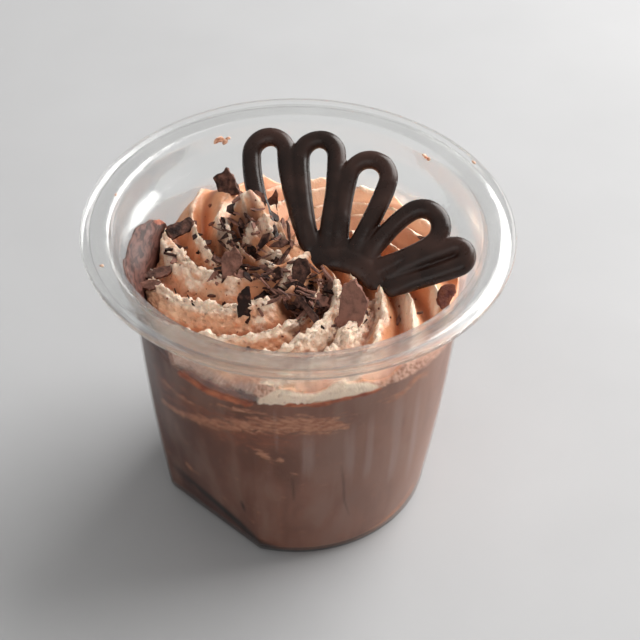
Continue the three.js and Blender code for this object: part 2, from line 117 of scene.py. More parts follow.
def lumps(points, size, seed):
    """Soft lumps from -1 to 1: each lattice corner has its own height, and the eight corners round a point
    are blended by the s-curve of its place between them."""
    spot = points / size
    cell = np.floor(spot)
    share = spot - cell
    share = share * share * (3 - 2 * share)
    total = 0
    for corner in CORNERS:
        weight = np.prod(np.where(corner == 1, share, 1 - share), axis=-1)
        total = total + weight * lattice_value(cell + corner, seed)
    return total * 2 - 1


def crumble(points, size, seed, layers=3):
    """Lumps with finer lumps on them: each layer is half as large and half as high as the one before."""
    return sum(lumps(points, size / 2 ** k, seed + k) / 2 ** k for k in range(layers))


def nearest_bubble(points, size, seed):
    """Distance to the nearest of one random point in each lattice cell, as a share of the cell's size."""
    spot = points / size
    cell = np.floor(spot)
    nearest = np.full(points.shape[:-1], 9.0)
    for step in AROUND:
        there = cell + step
        offset = np.stack([lattice_value(there, seed + 11 * k) for k in range(3)], axis=-1)
        nearest = np.minimum(nearest, np.linalg.norm(there + offset - spot, axis=-1))
    return nearest


print("a lump:", lumps(np.array([[1.0, 2.0, 3.3]]), 2.0, 5).round(3))


# %% From arrays to a mesh
def make_piece(name, points, faces, paints=None, smooth=True):
    """A mesh object at the origin from points in millimetres and a list of face arrays, each with the same
    number of corners in a row. paints gives one number per point for the finish to read."""
    loops = np.concatenate([part.ravel() for part in faces]).astype(np.int32)
    sizes = np.concatenate([np.full(len(part), part.shape[1]) for part in faces])
    starts = (np.cumsum(sizes) - sizes).astype(np.int32)
    mesh = bpy.data.meshes.new(name)
    mesh.vertices.add(len(points))
    mesh.vertices.foreach_set("co", (points * MM).astype(np.float32).ravel())
    mesh.loops.add(len(loops))
    mesh.loops.foreach_set("vertex_index", loops)
    mesh.polygons.add(len(sizes))
    mesh.polygons.foreach_set("loop_start", starts)
    mesh.polygons.foreach_set("use_smooth", np.full(len(sizes), smooth))
    mesh.update(calc_edges=True)
    for paint, values in (paints or {}).items():
        layer = mesh.attributes.new(paint, "FLOAT", "POINT")
        layer.data.foreach_set("value", np.asarray(values, np.float32).ravel())
    piece = bpy.data.objects.new(name, mesh)
    bpy.context.scene.collection.objects.link(piece)
    print(name, "has", int((sizes - 2).sum()), "triangles")
    return piece


def joined(parts):
    """Several (points, faces) as one, each part's faces counted on from the parts before it."""
    offsets = np.cumsum([0] + [len(points) for points, _ in parts[:-1]])
    points = np.vstack([points for points, _ in parts])
    faces = [face + offset for (_, own_faces), offset in zip(parts, offsets) for face in own_faces]
    return points, faces


print("mesh tools ready")


# %% Closed skins
def turned(first_pole, rings, last_pole):
    """Points and faces of a closed skin: a pole, rings[row, column] of points wrapped round, and a pole. Its
    faces are turned outwards, which the sign of the enclosed volume tells."""
    rows, columns, _ = rings.shape
    points = np.vstack([[first_pole], rings.reshape(-1, 3), [last_pole]])
    here = np.arange(columns)
    following = (here + 1) % columns
    base = 1 + np.arange(rows - 1)[:, None] * columns
    quads = np.stack([base + here, base + following, base + columns + following, base + columns + here], -1)
    quads = quads.reshape(-1, 4)
    last = len(points) - 1
    top = 1 + (rows - 1) * columns
    first_fan = np.stack([np.zeros(columns, int), 1 + following, 1 + here], -1)
    last_fan = np.stack([np.full(columns, last), top + here, top + following], -1)
    a, b, c, d = (points[quads[:, k]] for k in range(4))
    volume = np.sum(a * np.cross(b, c)) + np.sum(a * np.cross(c, d))
    faces = [quads, first_fan, last_fan]
    if volume < 0:
        faces = [part[:, ::-1] for part in faces]
    return points, faces


def capped(rings):
    """A closed skin whose poles are the middles of its first and last ring."""
    return turned(rings[0].mean(axis=0), rings, rings[-1].mean(axis=0))


def ring_normals(rings):
    """Unit normals of wrapped rings of points, from the cross product of the steps along and round them."""
    along = np.gradient(rings, axis=0)
    round_ = np.roll(rings, -1, axis=1) - np.roll(rings, 1, axis=1)
    normal = np.cross(round_, along)
    return normal / np.maximum(np.linalg.norm(normal, axis=-1, keepdims=True), 1e-9)


def polar(radius, azimuth, height):
    """Points from a radius, an azimuth in degrees and a height, which may be arrays."""
    turn = np.radians(azimuth)
    return np.stack(np.broadcast_arrays(radius * np.cos(turn), radius * np.sin(turn), height), axis=-1)


def from_line(spots, corners):
    """Distance from each spot to a broken line, and the share of the line's stretches passed at its foot."""
    corners = np.asarray(corners, float)
    nearest = np.full(spots.shape[:-1], 1e3)
    passed = np.zeros(spots.shape[:-1])
    for index, (start, end) in enumerate(zip(corners[:-1], corners[1:])):
        step = end - start
        along = np.clip((spots - start) @ step / (step @ step), 0, 1)
        away = np.linalg.norm(spots - start - along[..., None] * step, axis=-1)
        passed = np.where(away < nearest, (index + along) / (len(corners) - 1), passed)
        nearest = np.minimum(nearest, away)
    return nearest, passed


print("skin tools ready")

# %% [markdown]
# ## Small tools for finishes
# A finish is a sum of simple patterns. Written with Blender's nodes by hand it becomes a long list, so one
# small class stands for a node's output and turns +, - and * into Math nodes. Numbers that never change are
# set on the shader itself.


# %% Node expressions
class Signal:
    """One number, colour or vector that runs between nodes."""

    def __init__(self, finish, socket):
        self.finish = finish
        self.socket = socket

    def maths(self, operation, *values):
        return self.finish.node("ShaderNodeMath", {"operation": operation}, values)[0]

    def __add__(self, other):
        return self.maths("ADD", self, other)

    def __sub__(self, other):
        return self.maths("SUBTRACT", self, other)

    def __rsub__(self, other):
        return self.maths("SUBTRACT", other, self)

    def __mul__(self, other):
        return self.maths("MULTIPLY", self, other)

    __radd__ = __add__
    __rmul__ = __mul__


def colour(red, green, blue):
    """A colour given in the 0 to 255 steps of a screen, as the linear light that shaders work in."""
    steps = (red, green, blue)
    return tuple(((c / 255 + 0.055) / 1.055) ** 2.4 if c > 10 else c / 255 / 12.92 for c in steps)


print("chocolate brown in linear light:", [round(part, 3) for part in colour(112, 76, 62)])


# %% A finish and its patterns
class Finish:
    """A material under construction: its Principled shader, and the base colour that it has so far."""

    def __init__(self, name, base, roughness, **constants):
        self.material = bpy.data.materials.new(name)
        self.material.use_nodes = True
        self.tree = self.material.node_tree
        self.shader = self.tree.nodes["Principled BSDF"]
        self.base = base
        self.shader.inputs["Base Color"].default_value = (*base, 1)
        self.shader.inputs["Roughness"].default_value = roughness
        for socket, value in constants.items():
            self.shader.inputs[socket.replace("_", " ")].default_value = value

    def node(self, kind, settings, values):
        """Adds a node: its settings first, then its inputs by name or in order. Returns its outputs."""
        node = self.tree.nodes.new(kind)
        for setting, value in settings.items():
            setattr(node, setting, value)
        pairs = values.items() if isinstance(values, dict) else enumerate(values)
        for socket, value in pairs:
            self.feed(node.inputs[socket], value)
        return [Signal(self, output) for output in node.outputs if output.enabled]

    def feed(self, socket, value):
        """Links a signal to a socket, or sets a plain value on it."""
        if isinstance(value, Signal):
            self.tree.links.new(value.socket, socket)
        else:
            socket.default_value = value

    def place(self, stretch=(1, 1, 1)):
        """Object coordinates in millimetres, each direction multiplied by its stretch."""
        _, _, _, where, *_ = self.node("ShaderNodeTexCoord", {}, {})
        scale = tuple(factor / MM for factor in stretch)
        return self.node("ShaderNodeVectorMath", {"operation": "MULTIPLY"}, (where, scale))[0]

    def place_parts(self):
        """The three object coordinates in millimetres, each as a number of its own."""
        return self.node("ShaderNodeSeparateXYZ", {}, (self.place(),))

    def paint(self, name):
        """The number that the mesh carries under this name."""
        _, _, number, *_ = self.node("ShaderNodeAttribute", {"attribute_name": name}, {})
        return number

    def noise(self, size, stretch=(1, 1, 1), detail=2.0, warp=0.0):
        """Cloudy noise from 0 to 1 whose lumps are about size millimetres."""
        values = {"Vector": self.place(stretch), "Scale": 1 / size, "Detail": detail, "Distortion": warp}
        return self.node("ShaderNodeTexNoise", {}, values)[0]

    def cells(self, size):
        """Distance to the nearest of scattered points about size millimetres apart."""
        values = {"Vector": self.place(), "Scale": 1 / size}
        return self.node("ShaderNodeTexVoronoi", {}, values)[0]

    def between(self, value, low, high, bottom=0.0, top=1.0):
        """bottom below low and top above high, with an s-curve in between."""
        values = {"Value": value, "From Min": low, "From Max": high, "To Min": bottom, "To Max": top}
        return self.node("ShaderNodeMapRange", {"interpolation_type": "SMOOTHSTEP"}, values)[0]

    def broken_up(self, mask, noise, amount, low, high):
        """A mask whose edge a noise shifts to and fro, sharpened again between low and high."""
        return self.between(mask + (noise - 0.5) * amount, low, high)

    def blend(self, factor, low, high):
        """Colour low where the factor is 0 and colour high where it is 1."""
        low, high = ((*c, 1) if isinstance(c, tuple) else c for c in (low, high))
        node = self.tree.nodes.new("ShaderNodeMix")
        node.data_type = "RGBA"
        node.clamp_factor = True
        colour_inputs = [socket for socket in node.inputs if socket.type == "RGBA"]
        self.feed(node.inputs[0], factor)
        self.feed(colour_inputs[0], low)
        self.feed(colour_inputs[1], high)
        return Signal(self, next(output for output in node.outputs if output.type == "RGBA"))

    def cover(self, factor, over):
        """Lays a colour over the base colour that the finish has so far."""
        self.base = self.blend(factor, self.base, over)

    def bumps(self, height, distance_mm, strength=1.0):
        """Feeds the shader's normal with a relief this many millimetres high."""
        values = {"Height": height, "Distance": distance_mm * MM, "Strength": strength}
        self.feed(self.shader.inputs["Normal"], self.node("ShaderNodeBump", {}, values)[0])

    def use(self, **signals):
        """Feeds signals to the shader's sockets, with _ for a space in a socket's name."""
        for socket, value in signals.items():
            self.feed(self.shader.inputs[socket.replace("_", " ")], value)


print("finishes can be mixed")


# %% Give a piece its finish
def finish_piece(piece, finish, replaced):
    """Gives a piece its finish and ties it to the frame."""
    piece.data.materials.append(finish.material)
    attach(piece, "root")
    if replaced:
        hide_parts(*replaced)


print("finish tools ready")

# %% [markdown]
# ## The pot
# The real pot is drawn from one sheet of clear plastic: a foot ring with a raised middle, a swelling wall, a
# shoulder that steps out to the neck, and a flat sealing flange with a rolled edge. Two flats press its foot
# inwards. It is a turned shape, so it is made by turning one closed profile, and the flats shorten the radius
# at their azimuths. The corners of the profile are cut, which rounds them as the hot sheet does.

# %% Sizes of the pot
RIM_RADIUS, BEAD_HEIGHT, BEAD, BEAD_ARC = 47.5, 73.5, 1.1, 156
FLANGE_TOP, FLANGE_BOTTOM, FLANGE_FLAT_RADIUS = 74.2, 73.3, 44.9
MOUTH_RADIUS, NECK_FOOT_RADIUS, NECK_FOOT = 40.1, 39.5, 67.5
SHOULDER_FOOT, SHOULDER_STEP, EDGE_ROUND, WALL = 62.0, 0.35, 0.6, 1.0
BASE_RADIUS, TOP_RADIUS, TOP_LEVEL, BULGE = 31.0, 37.2, 66.5, 1.0
HEEL, PUSH_UP, PUSHED_RADIUS, FOOT_INNER, FLOOR = 3.0, 0.6, 19.3, 23.3, 1.6
FLAT_AZIMUTH, FLAT_HALF_ANGLE, FLAT_HEIGHT = 227.5, 27.5, 55.0
POT_COLUMNS, WALL_STEPS, OUTER_HEEL_STEPS, INNER_HEEL_STEPS, BEAD_STEPS = 240, 14, 7, 5, 18


def wall_radius(z):
    """Outside radius of the wall: a straight taper plus a parabola that swells it in the middle."""
    t = z / TOP_LEVEL
    return lerp(BASE_RADIUS, TOP_RADIUS, t) + BULGE * 4 * t * (1 - t)


def flat_share(azimuth, z):
    """The share of its round radius that the wall keeps: a chord's distance from the axis at the foot, and
    back to the full radius at the height where the flat has faded out. The second flat is half a turn on."""
    fade = 1 - smoothstep(z, 0, FLAT_HEIGHT)
    apart = np.abs((azimuth - FLAT_AZIMUTH + 810) % 180 - 90)
    chord = math.cos(math.radians(FLAT_HALF_ANGLE)) / np.cos(np.radians(np.minimum(apart, FLAT_HALF_ANGLE)))
    return np.where(apart < FLAT_HALF_ANGLE, 1 - fade * (1 - chord), 1)


def pot_ring(radius, azimuth, z):
    """Points of the pot or its filling: a round ring with the two flats pressed in."""
    return polar(radius * flat_share(azimuth, z), azimuth, z)


def arc(centre, radius, start, end, steps):
    """Points on an arc about a centre, from one angle to another in degrees."""
    angle = np.radians(np.linspace(start, end, steps + 1))
    return np.stack([centre[0] + radius * np.cos(angle), centre[1] + radius * np.sin(angle)], axis=-1)


def wall_run(start, end, inset):
    """Points down or up the wall, moved inwards by inset."""
    z = np.linspace(start, end, WALL_STEPS + 1)
    return np.stack([wall_radius(z) - inset, z], axis=-1)


def cut_corners(line):
    """Every corner replaced by two points, at a quarter and three quarters of each stretch."""
    quarter = lerp(line[:-1], line[1:], 0.25)
    three = lerp(line[:-1], line[1:], 0.75)
    between = np.stack([quarter, three], axis=1).reshape(-1, 2)
    return np.vstack([line[:1], between, line[-1:]])


print("radius of the wall at half height:", round(wall_radius(TOP_LEVEL / 2), 2), "mm")


# %% Turn the pot
shoulder_outer = wall_radius(SHOULDER_FOOT)
shoulder_middle = (SHOULDER_FOOT + NECK_FOOT) / 2
neck_outer = NECK_FOOT_RADIUS + WALL
inner_heel = wall_radius(FLOOR + HEEL) - WALL
pot_profile = np.vstack([
    [[PUSHED_RADIUS, PUSH_UP], [FOOT_INNER - PUSH_UP, PUSH_UP], [FOOT_INNER, 0]],
    arc((wall_radius(HEEL) - HEEL, HEEL), HEEL, -90, 0, OUTER_HEEL_STEPS),
    wall_run(HEEL, SHOULDER_FOOT, 0)[1:],
    [[lerp(shoulder_outer, neck_outer, SHOULDER_STEP), shoulder_middle - EDGE_ROUND / 2]],
    [[neck_outer, NECK_FOOT - EDGE_ROUND], [MOUTH_RADIUS + WALL, FLANGE_BOTTOM - EDGE_ROUND]],
    [[MOUTH_RADIUS + WALL + EDGE_ROUND, FLANGE_BOTTOM], [FLANGE_FLAT_RADIUS, FLANGE_BOTTOM]],
    arc((RIM_RADIUS - BEAD, BEAD_HEIGHT), BEAD, -BEAD_ARC, BEAD_ARC, BEAD_STEPS),
    [[FLANGE_FLAT_RADIUS, FLANGE_TOP], [MOUTH_RADIUS + EDGE_ROUND, FLANGE_TOP]],
    [[MOUTH_RADIUS, FLANGE_TOP - EDGE_ROUND], [NECK_FOOT_RADIUS, NECK_FOOT]],
    [[lerp(shoulder_outer - WALL, NECK_FOOT_RADIUS, SHOULDER_STEP), shoulder_middle]],
    wall_run(SHOULDER_FOOT, FLOOR + HEEL, WALL),
    arc((inner_heel - HEEL, FLOOR + HEEL), HEEL, 0, -90, INNER_HEEL_STEPS)[1:],
])
pot_profile = cut_corners(pot_profile)
pot_azimuth = np.arange(POT_COLUMNS) * 360 / POT_COLUMNS
pot_rings = pot_ring(pot_profile[:, :1], pot_azimuth[None, :], pot_profile[:, 1:])
pot = make_piece("clear_pot", *turned((0, 0, PUSH_UP), pot_rings, (0, 0, FLOOR)))
print("pot profile has", len(pot_profile), "points")

# %% [markdown]
# ### Clear plastic
# Thermoformed plastic is glass-clear but never quite even: the sheet thins and ripples as it is drawn, and
# handling leaves faint hazy streaks. So the shader lets all light through, a long soft relief bends it, and
# the roughness varies a little.

# %% Finish of the pot
clear = Finish("clear plastic", (0.97, 0.985, 0.98), 0.03, Transmission_Weight=1.0, IOR=1.48,
               Specular_IOR_Level=0.38)
haze = clear.noise(9.0, stretch=(1, 1, 0.35), detail=4.0)
clear.use(Roughness=clear.between(haze, 0.4, 0.75, 0.05, 0.2))
ripple = clear.noise(14.0, stretch=(1, 1, 0.3), detail=1.0) + 0.06 * clear.noise(1.5, detail=2.0)
clear.bumps(ripple, 0.5)
# Half of the light, and all of a lamp's, goes straight through the thin wall, as if it weren't there. So
# what the pot holds is lit as the air is.
_, lamp_ray, *_ = clear.node("ShaderNodeLightPath", {}, {})
straight_share = lamp_ray * 0.5 + 0.5
see_through = clear.node("ShaderNodeBsdfTransparent", {}, {"Color": (0.985, 0.99, 0.985, 1)})[0]
refracted = Signal(clear, clear.shader.outputs[0])
both = clear.node("ShaderNodeMixShader", {}, (straight_share, refracted, see_through))[0]
clear.feed(clear.tree.nodes["Material Output"].inputs["Surface"], both)
finish_piece(pot, clear, ["cup"])
print("pot finished")

# %% [markdown]
# ## The mousse
# The mousse was spooned in, so its top waves at the wall, and at the left it was dragged up the wall in a
# dark smear. Seen through the plastic it has to touch the wall, so it reaches to the middle of the wall.
# It is turned like the pot, with the height of its top edge varying round the pot.

# %% Sizes of the filling
GAP, INTO_WALL, SUNK = 0.3, 0.5, 0.3  # clearance under the cream, and the mousse's reach into wall and floor
FILL_LEVEL, FILL_WAVE_AZIMUTH = 53.8, 290
FILM_THICKNESS, FILM_THINS, THIN_SHARE = 1.1, (59, 65), 0.35
SMEAR_AZIMUTH, SMEAR_HALF_ANGLE, SMEAR_THICKNESS = 172.0, 34.0, 2.6
SMEAR_EDGE = np.array([  # azimuth, height
    (138, 0), (147, 56), (152, 61.8), (157, 63.6), (164, 64.6), (179, 65.4), (190, 65.8), (199, 65.2),
    (207, 63), (214, 59.5), (221, 56), (228, 0),
])
MOUSSE_COLUMNS, HEEL_STEPS, SIDE_ROWS, INSIDE_ROWS, UNDER_ROWS = 576, 8, 117, 11, 6
ALONG_WALL = 0.61  # millimetres along the wall for each degree


def fill_level(azimuth):
    """Height of the mousse's top at the wall: the mean level, one long wave round the pot and four short."""
    turn = np.radians(azimuth - FILL_WAVE_AZIMUTH)
    return FILL_LEVEL + np.cos(turn) + np.cos(4 * turn)


def smear(azimuth):
    """The share of the smear's full thickness at an azimuth."""
    return hump(azimuth, SMEAR_AZIMUTH, SMEAR_HALF_ANGLE)


def fill_radius(z):
    """Radius half way into the plastic: inside the wall, and above the shoulder's foot out to the neck."""
    shoulder = [SHOULDER_FOOT, shoulder_middle, NECK_FOOT]
    step = [shoulder_outer, lerp(shoulder_outer, neck_outer, SHOULDER_STEP), neck_outer]
    return np.where(z < SHOULDER_FOOT, wall_radius(z), np.interp(z, shoulder, step)) - INTO_WALL


def inner_radius(azimuth, z):
    """Radius of the inner face of what clings to the wall: a film, thicker in the smear, thin at its top."""
    thickness = FILM_THICKNESS + SMEAR_THICKNESS * smear(azimuth)
    return fill_radius(z) - thickness * lerp(1, THIN_SHARE, smoothstep(z, *FILM_THINS))


print("mousse level from", round(float(fill_level(np.arange(360)).min()), 1), "to",
      round(float(fill_level(np.arange(360)).max()), 1), "mm")


# %% The top edge of the mousse
azimuth = (np.arange(MOUSSE_COLUMNS) * 360 / MOUSSE_COLUMNS)[None, :]
edge_point = polar(36.0, azimuth, 54.0)
ragged = 0.55 * lumps(edge_point, 5.0, 3) + 0.3 * lumps(edge_point, 1.7, 4)
smear_edge = np.interp(azimuth, *SMEAR_EDGE.T) + 0.8 * lumps(edge_point, 7.0, 5)
edge_top = np.maximum(fill_level(azimuth), smear_edge) + ragged
print("smear reaches up to", round(float(edge_top.max()), 1), "mm")

# %% Shape the mousse
# From below: the rounded heel, up the wall, over a narrow lip, down inside, and in under the cream.
heel = arc((wall_radius(FLOOR + HEEL) - INTO_WALL - HEEL, FLOOR + HEEL - SUNK), HEEL, -90, 0, HEEL_STEPS)
heel_rings = pot_ring(heel[:, :1], azimuth, heel[:, 1:])
side_share = np.linspace(0, 1, SIDE_ROWS + 1)[1:, None]
side_height = lerp(heel[-1, 1], edge_top, side_share)
side_rings = pot_ring(fill_radius(side_height), azimuth, side_height)
lip = np.array([0.15, 0.4, 0.75, 1.0])[:, None]
lip_height = edge_top + 0.25 * np.sin(np.pi * lip) - 0.5 * lip ** 3
lip_rings = polar(lerp(fill_radius(edge_top), inner_radius(azimuth, edge_top), lip), azimuth, lip_height)
down = np.linspace(0, 1, INSIDE_ROWS + 1)[1:, None]
inside_height = lerp(lip_height[-1:], fill_level(azimuth) - GAP, down)
inside_radius = inner_radius(azimuth, inside_height) - 0.4 * down
inside_rings = polar(inside_radius, azimuth, inside_height)
under = np.linspace(1, 0, UNDER_ROWS + 2)[1:-1, None]
under_height = lerp(FILL_LEVEL, fill_level(azimuth), under ** 2) - GAP
under_rings = polar(under * inside_radius[-1:], azimuth, under_height)
mousse_rings = np.concatenate([heel_rings, side_rings, lip_rings, inside_rings, under_rings])
print("mousse rings:", mousse_rings.shape)

# %% Drag the smear
DRAG_DEPTH = 0.7
wall_spots = np.stack(np.broadcast_arrays(azimuth * ALONG_WALL, mousse_rings[..., 2]), axis=-1)
above_level = mousse_rings[..., 2] - fill_level(azimuth) > 0
smeared = above_level * smoothstep(smear_edge - fill_level(azimuth), 0, 2)
drag_spots = np.dstack([wall_spots * [0.22, 1], 0 * azimuth + 0 * mousse_rings[..., 0]])
dragged = lumps(drag_spots, 1.6, 21)
mousse_rings += ring_normals(mousse_rings) * (-DRAG_DEPTH * smeared * np.abs(dragged))[..., None]
below_edge = np.broadcast_to(edge_top, mousse_rings.shape[:2]) - mousse_rings[..., 2]
mousse_skin = turned((0, 0, FLOOR - SUNK), mousse_rings, (0, 0, FILL_LEVEL - GAP))
print("deepest drag mark:", round(float((DRAG_DEPTH * smeared * np.abs(dragged)).max()), 2), "mm")

# %% Lines on the mousse at the wall
# Each line is its width in millimetres and its corners, given by azimuth and height.
MARBLED_BAND = [(210, 36.4), (222, 38.6), (239, 43), (257, 47.4), (272, 48.8), (281, 47.6), (288, 46.2)]
PALE_STREAKS = [
    (0.8, [(214, 46.5), (222, 45.2), (232, 46.5)]),
    (0.7, [(236, 49.5), (250, 50.6), (262, 51.8)]),
    (1.4, [(300, 51), (308, 50.5), (316, 52.5), (326, 51)]),
    (1.0, [(40, 40), (62, 44), (85, 42)]),
    (1.3, [(96, 33), (118, 37), (140, 46)]),
    (1.1, [(334, 30), (346, 34), (358, 33)]),
]
# Long pale upright streaks: painted reflections on the plastic wall.
STREAK_REFLECTIONS = [
    (0.8, [(262.8, 53), (263.2, 46), (263.6, 39)]),
    (2.0, [(274.5, 45), (274.4, 36), (273.6, 29)]),
    (1.7, [(289, 46), (291, 24)]),
    (1.3, [(297, 49), (298, 26)]),
    (2.0, [(308, 52), (311, 20)]),
    (1.5, [(318, 48), (322, 14)]),
    (1.8, [(20, 50), (24, 22)]),
    (1.6, [(130, 46), (126, 18)]),
]
PALE_SPOTS = [
    (1.1, [(213.6, 16.8), (217, 14.8)]),
    (0.9, [(214.5, 8.6), (218, 6.6)]),
    (1.1, [(256.2, 38.6), (257.8, 37.6), (261.4, 36.3)]),
    (0.9, [(263.0, 36.7), (266.2, 36.2)]),
    # Painted light: a pale line along the foot at the front right, where light comes through the plastic's
    # edge.
    (1.0, [(298, 2.4), (310, 3.4), (322, 5.0), (334, 8.0)]),
]
CREASE = np.array([(205, 10.2), (211.7, 9.6), (229.6, 7.9), (244.7, 5.9), (260.5, 2.1), (267, 0.5)])
# The dark lines: painted shade along the crease at the foot of the flat, then a short fleck and a fine line.
DARK_LINES = [
    (1.6, CREASE),
    (0.5, [(247.4, 16.4), (248.4, 13.2)]),
    (0.35, [(207, 45), (213, 41.5), (219, 42.5)]),
]
FAINT_LINES = [
    (0.3, [(287, 33), (288.4, 27), (289.4, 20), (292.5, 13.5)]),
    (0.3, [(268.9, 30.4), (269.4, 26.1), (269.7, 21.9)]),
    (0.4, [(30, 44), (33, 26), (31, 14)]),
]


def on_wall(line):
    """A line's azimuths and heights as millimetres along and up the wall."""
    return np.array(line) * [ALONG_WALL, 1]


def painted_lines(lines, sharpness=1.0):
    """1 on each line, fading out to the side over its width and thinned towards both ends by a sine."""
    paint = np.zeros(wall_spots.shape[:-1])
    for width, line in lines:
        away, passed = from_line(wall_spots, on_wall(line))
        taper = np.sin(np.pi * lerp(0.08, 0.92, passed)) ** 0.7
        paint = np.maximum(paint, taper * np.clip(1.4 - away / width, 0, 1) ** sharpness)
    return paint


print("lines on the mousse:",
      len(PALE_STREAKS) + len(STREAK_REFLECTIONS) + len(PALE_SPOTS) + len(DARK_LINES) + len(FAINT_LINES))

# %% Marble the mousse and paint its shade, reflections and lines
band_away, band_passed = from_line(wall_spots, on_wall(MARBLED_BAND))
band_width = lerp(0.9, 2.7, smoothstep(band_passed, 0, 0.75)) * (1 - 0.75 * smoothstep(band_passed, 0.85, 1))
marble = np.clip(1.5 - band_away / band_width, 0, 1)
marble = np.maximum(marble, 0.7 * painted_lines(PALE_STREAKS))
marble = np.maximum(marble, 1.25 * painted_lines(PALE_SPOTS))
wiped = painted_lines(STREAK_REFLECTIONS, 1.6) * smoothstep(wall_spots[..., 1], 4, 12)
cracked = np.maximum(painted_lines(DARK_LINES), 0.4 * painted_lines(FAINT_LINES))
crease_height = np.interp(azimuth, *CREASE.T, left=0, right=0)
# Painted shade below the crease, where the heel of the flat turns under.
undercut = smoothstep(crease_height - wall_spots[..., 1], 0.2, 1.0) * smoothstep(azimuth, 205, 209)
stirred = smoothstep(azimuth, 200, 212) * smoothstep(azimuth, 282, 262)
stirred = stirred * hump(wall_spots[..., 1] * 8, 350, 100)
print("share of the wall with marbling:", round(float((marble > 0.5).mean()), 3))

# %% Light up the thin upper edge
left_stretch = smoothstep(azimuth, 222, 227) * smoothstep(azimuth, 259, 240) ** 0.4
front_stretch = smoothstep(azimuth, 263, 268) * smoothstep(azimuth, 303, 296)
smear_ends = np.maximum(hump(azimuth, 153, 7), hump(azimuth, 204, 12))
far_stretches = np.maximum(hump(azimuth, 60, 24), hump(azimuth, 118, 14))
glow_where = np.maximum(left_stretch, front_stretch)
glow_where = np.maximum(glow_where, 0.8 * smear_ends)
glow_where = np.maximum(glow_where, 0.7 * far_stretches)
glow = glow_where * smoothstep(below_edge, 1.5, 0.4)


def with_poles(values, shape):
    """One number per ring point, broadcast to the rings' shape, with zeros for the two poles."""
    return np.concatenate([[0], np.broadcast_to(values, shape).ravel(), [0]])


mousse_paints = {"marble": marble, "wiped": wiped, "cracked": cracked, "glow": glow, "smeared": smeared,
                 "stirred": stirred, "undercut": undercut}
mousse = make_piece("mousse_fill", *mousse_skin, {
    name: with_poles(values, mousse_rings.shape[:2]) for name, values in mousse_paints.items()})

# %% [markdown]
# ### Dark mousse behind plastic
# Where it is pressed on the wall the mousse is dull and smooth, with paler swirls of cream marbled into its
# upper part and a few bubbles. Long pale upright streaks are painted reflections on the plastic. Painted
# light pales the front right, painted shade darkens the left and the crease at the foot of the flat, and the
# thin upper edge lets light through and glows orange-brown.

# %% Finish of the mousse
dark = Finish("dark mousse", colour(112, 76, 62), 0.5, Specular_IOR_Level=0.35)
x, y, _ = dark.place_parts()
cloud = dark.noise(15.0, detail=2.0)
smudge = dark.noise(6.0, stretch=(1, 1, 0.3), detail=5.0, warp=0.4)
upright = dark.noise(2.2, stretch=(1, 1, 0.12), detail=3.0)
streaky = dark.noise(3.0, stretch=(1, 1, 4.0), detail=4.0, warp=0.8)
grain = dark.noise(1.7, stretch=(1, 1, 3.2), detail=4.0, warp=0.6)
# The body: clouded brown, smudged where it was pressed, with painted light from the window at the front
# right and painted shade at the left.
dark.base = dark.blend(dark.between(cloud, 0.3, 0.7), colour(118, 74, 58), colour(138, 92, 75))
window_lit_front_right = dark.between(x, -4.0, 30.0) * dark.between(y, 16.0, -6.0)
# Painted light: the window pales the front right.
dark.cover(window_lit_front_right * 0.6, colour(164, 128, 113))
# Painted shade: the left side, away from the window, is darker.
dark.cover(dark.between(x, -4.0, -32.0) * 0.75, colour(74, 38, 28))
dark.cover(dark.between(smudge, 0.42, 0.7) * 0.35, colour(156, 126, 114))
dark.cover(dark.between(smudge, 0.5, 0.28) * 0.3, colour(86, 54, 44))
# Painted reflections: long pale upright streaks.
dark.cover(dark.broken_up(dark.paint("wiped"), upright, 1.1, 0.2, 1.2) * 0.5, colour(168, 142, 134))
# The cream that was stirred in, first faint and then as clear pale marbling, and painted light along the
# foot at the front right.
dark.cover(dark.broken_up(dark.paint("stirred"), streaky, 2.4, 0.5, 1.3) * 0.6, colour(150, 84, 58))
pale = dark.blend(dark.between(grain, 0.3, 0.7), colour(158, 96, 70), colour(206, 148, 116))
dark.cover(dark.broken_up(dark.paint("marble"), streaky, 2.8, 0.28, 0.92) * 0.85, pale)
# Painted shade under the crease at the foot of the flat, the dark lines (painted shade along the crease, a
# fleck and cracks), the smear and the thin edge that light shines through.
dark.cover(dark.paint("undercut") * 0.75, colour(64, 30, 24))
dark.cover(dark.paint("cracked"), colour(20, 11, 9))
streak_share = dark.between(streaky, 0.35, 0.65)
dark.cover(dark.paint("smeared") * 0.95, dark.blend(streak_share, colour(50, 24, 20), colour(112, 74, 66)))
glow_share = dark.broken_up(dark.paint("glow"), dark.noise(2.4, detail=3.0), 1.6, 0.4, 0.75)
dark.cover(glow_share * 0.9, dark.blend(streak_share, colour(138, 58, 34), colour(200, 116, 78)))
bubbles = dark.between(dark.cells(3.1), 0.04, 0.12, 1.0, 0.0)
dark.use(Base_Color=dark.base, Roughness=dark.between(cloud, 0.3, 0.7, 0.42, 0.55))
dark.bumps(upright * 0.6 - bubbles, 0.05)
finish_piece(mousse, dark, ["mousse"])
print("mousse finished")

# %% [markdown]
# ## The cream
# The rosette was piped with a star nozzle: fourteen ridges start at the wall and wind inwards. Their faces
# are smooth where the nozzle slid and torn where the cream pulled away, above all along the crests at the
# front. The surface is worked out on a grid that winds with the ridges, so each crest runs along one line of
# points. Then it is roughened with lumps and pitted with bubbles where it is torn.

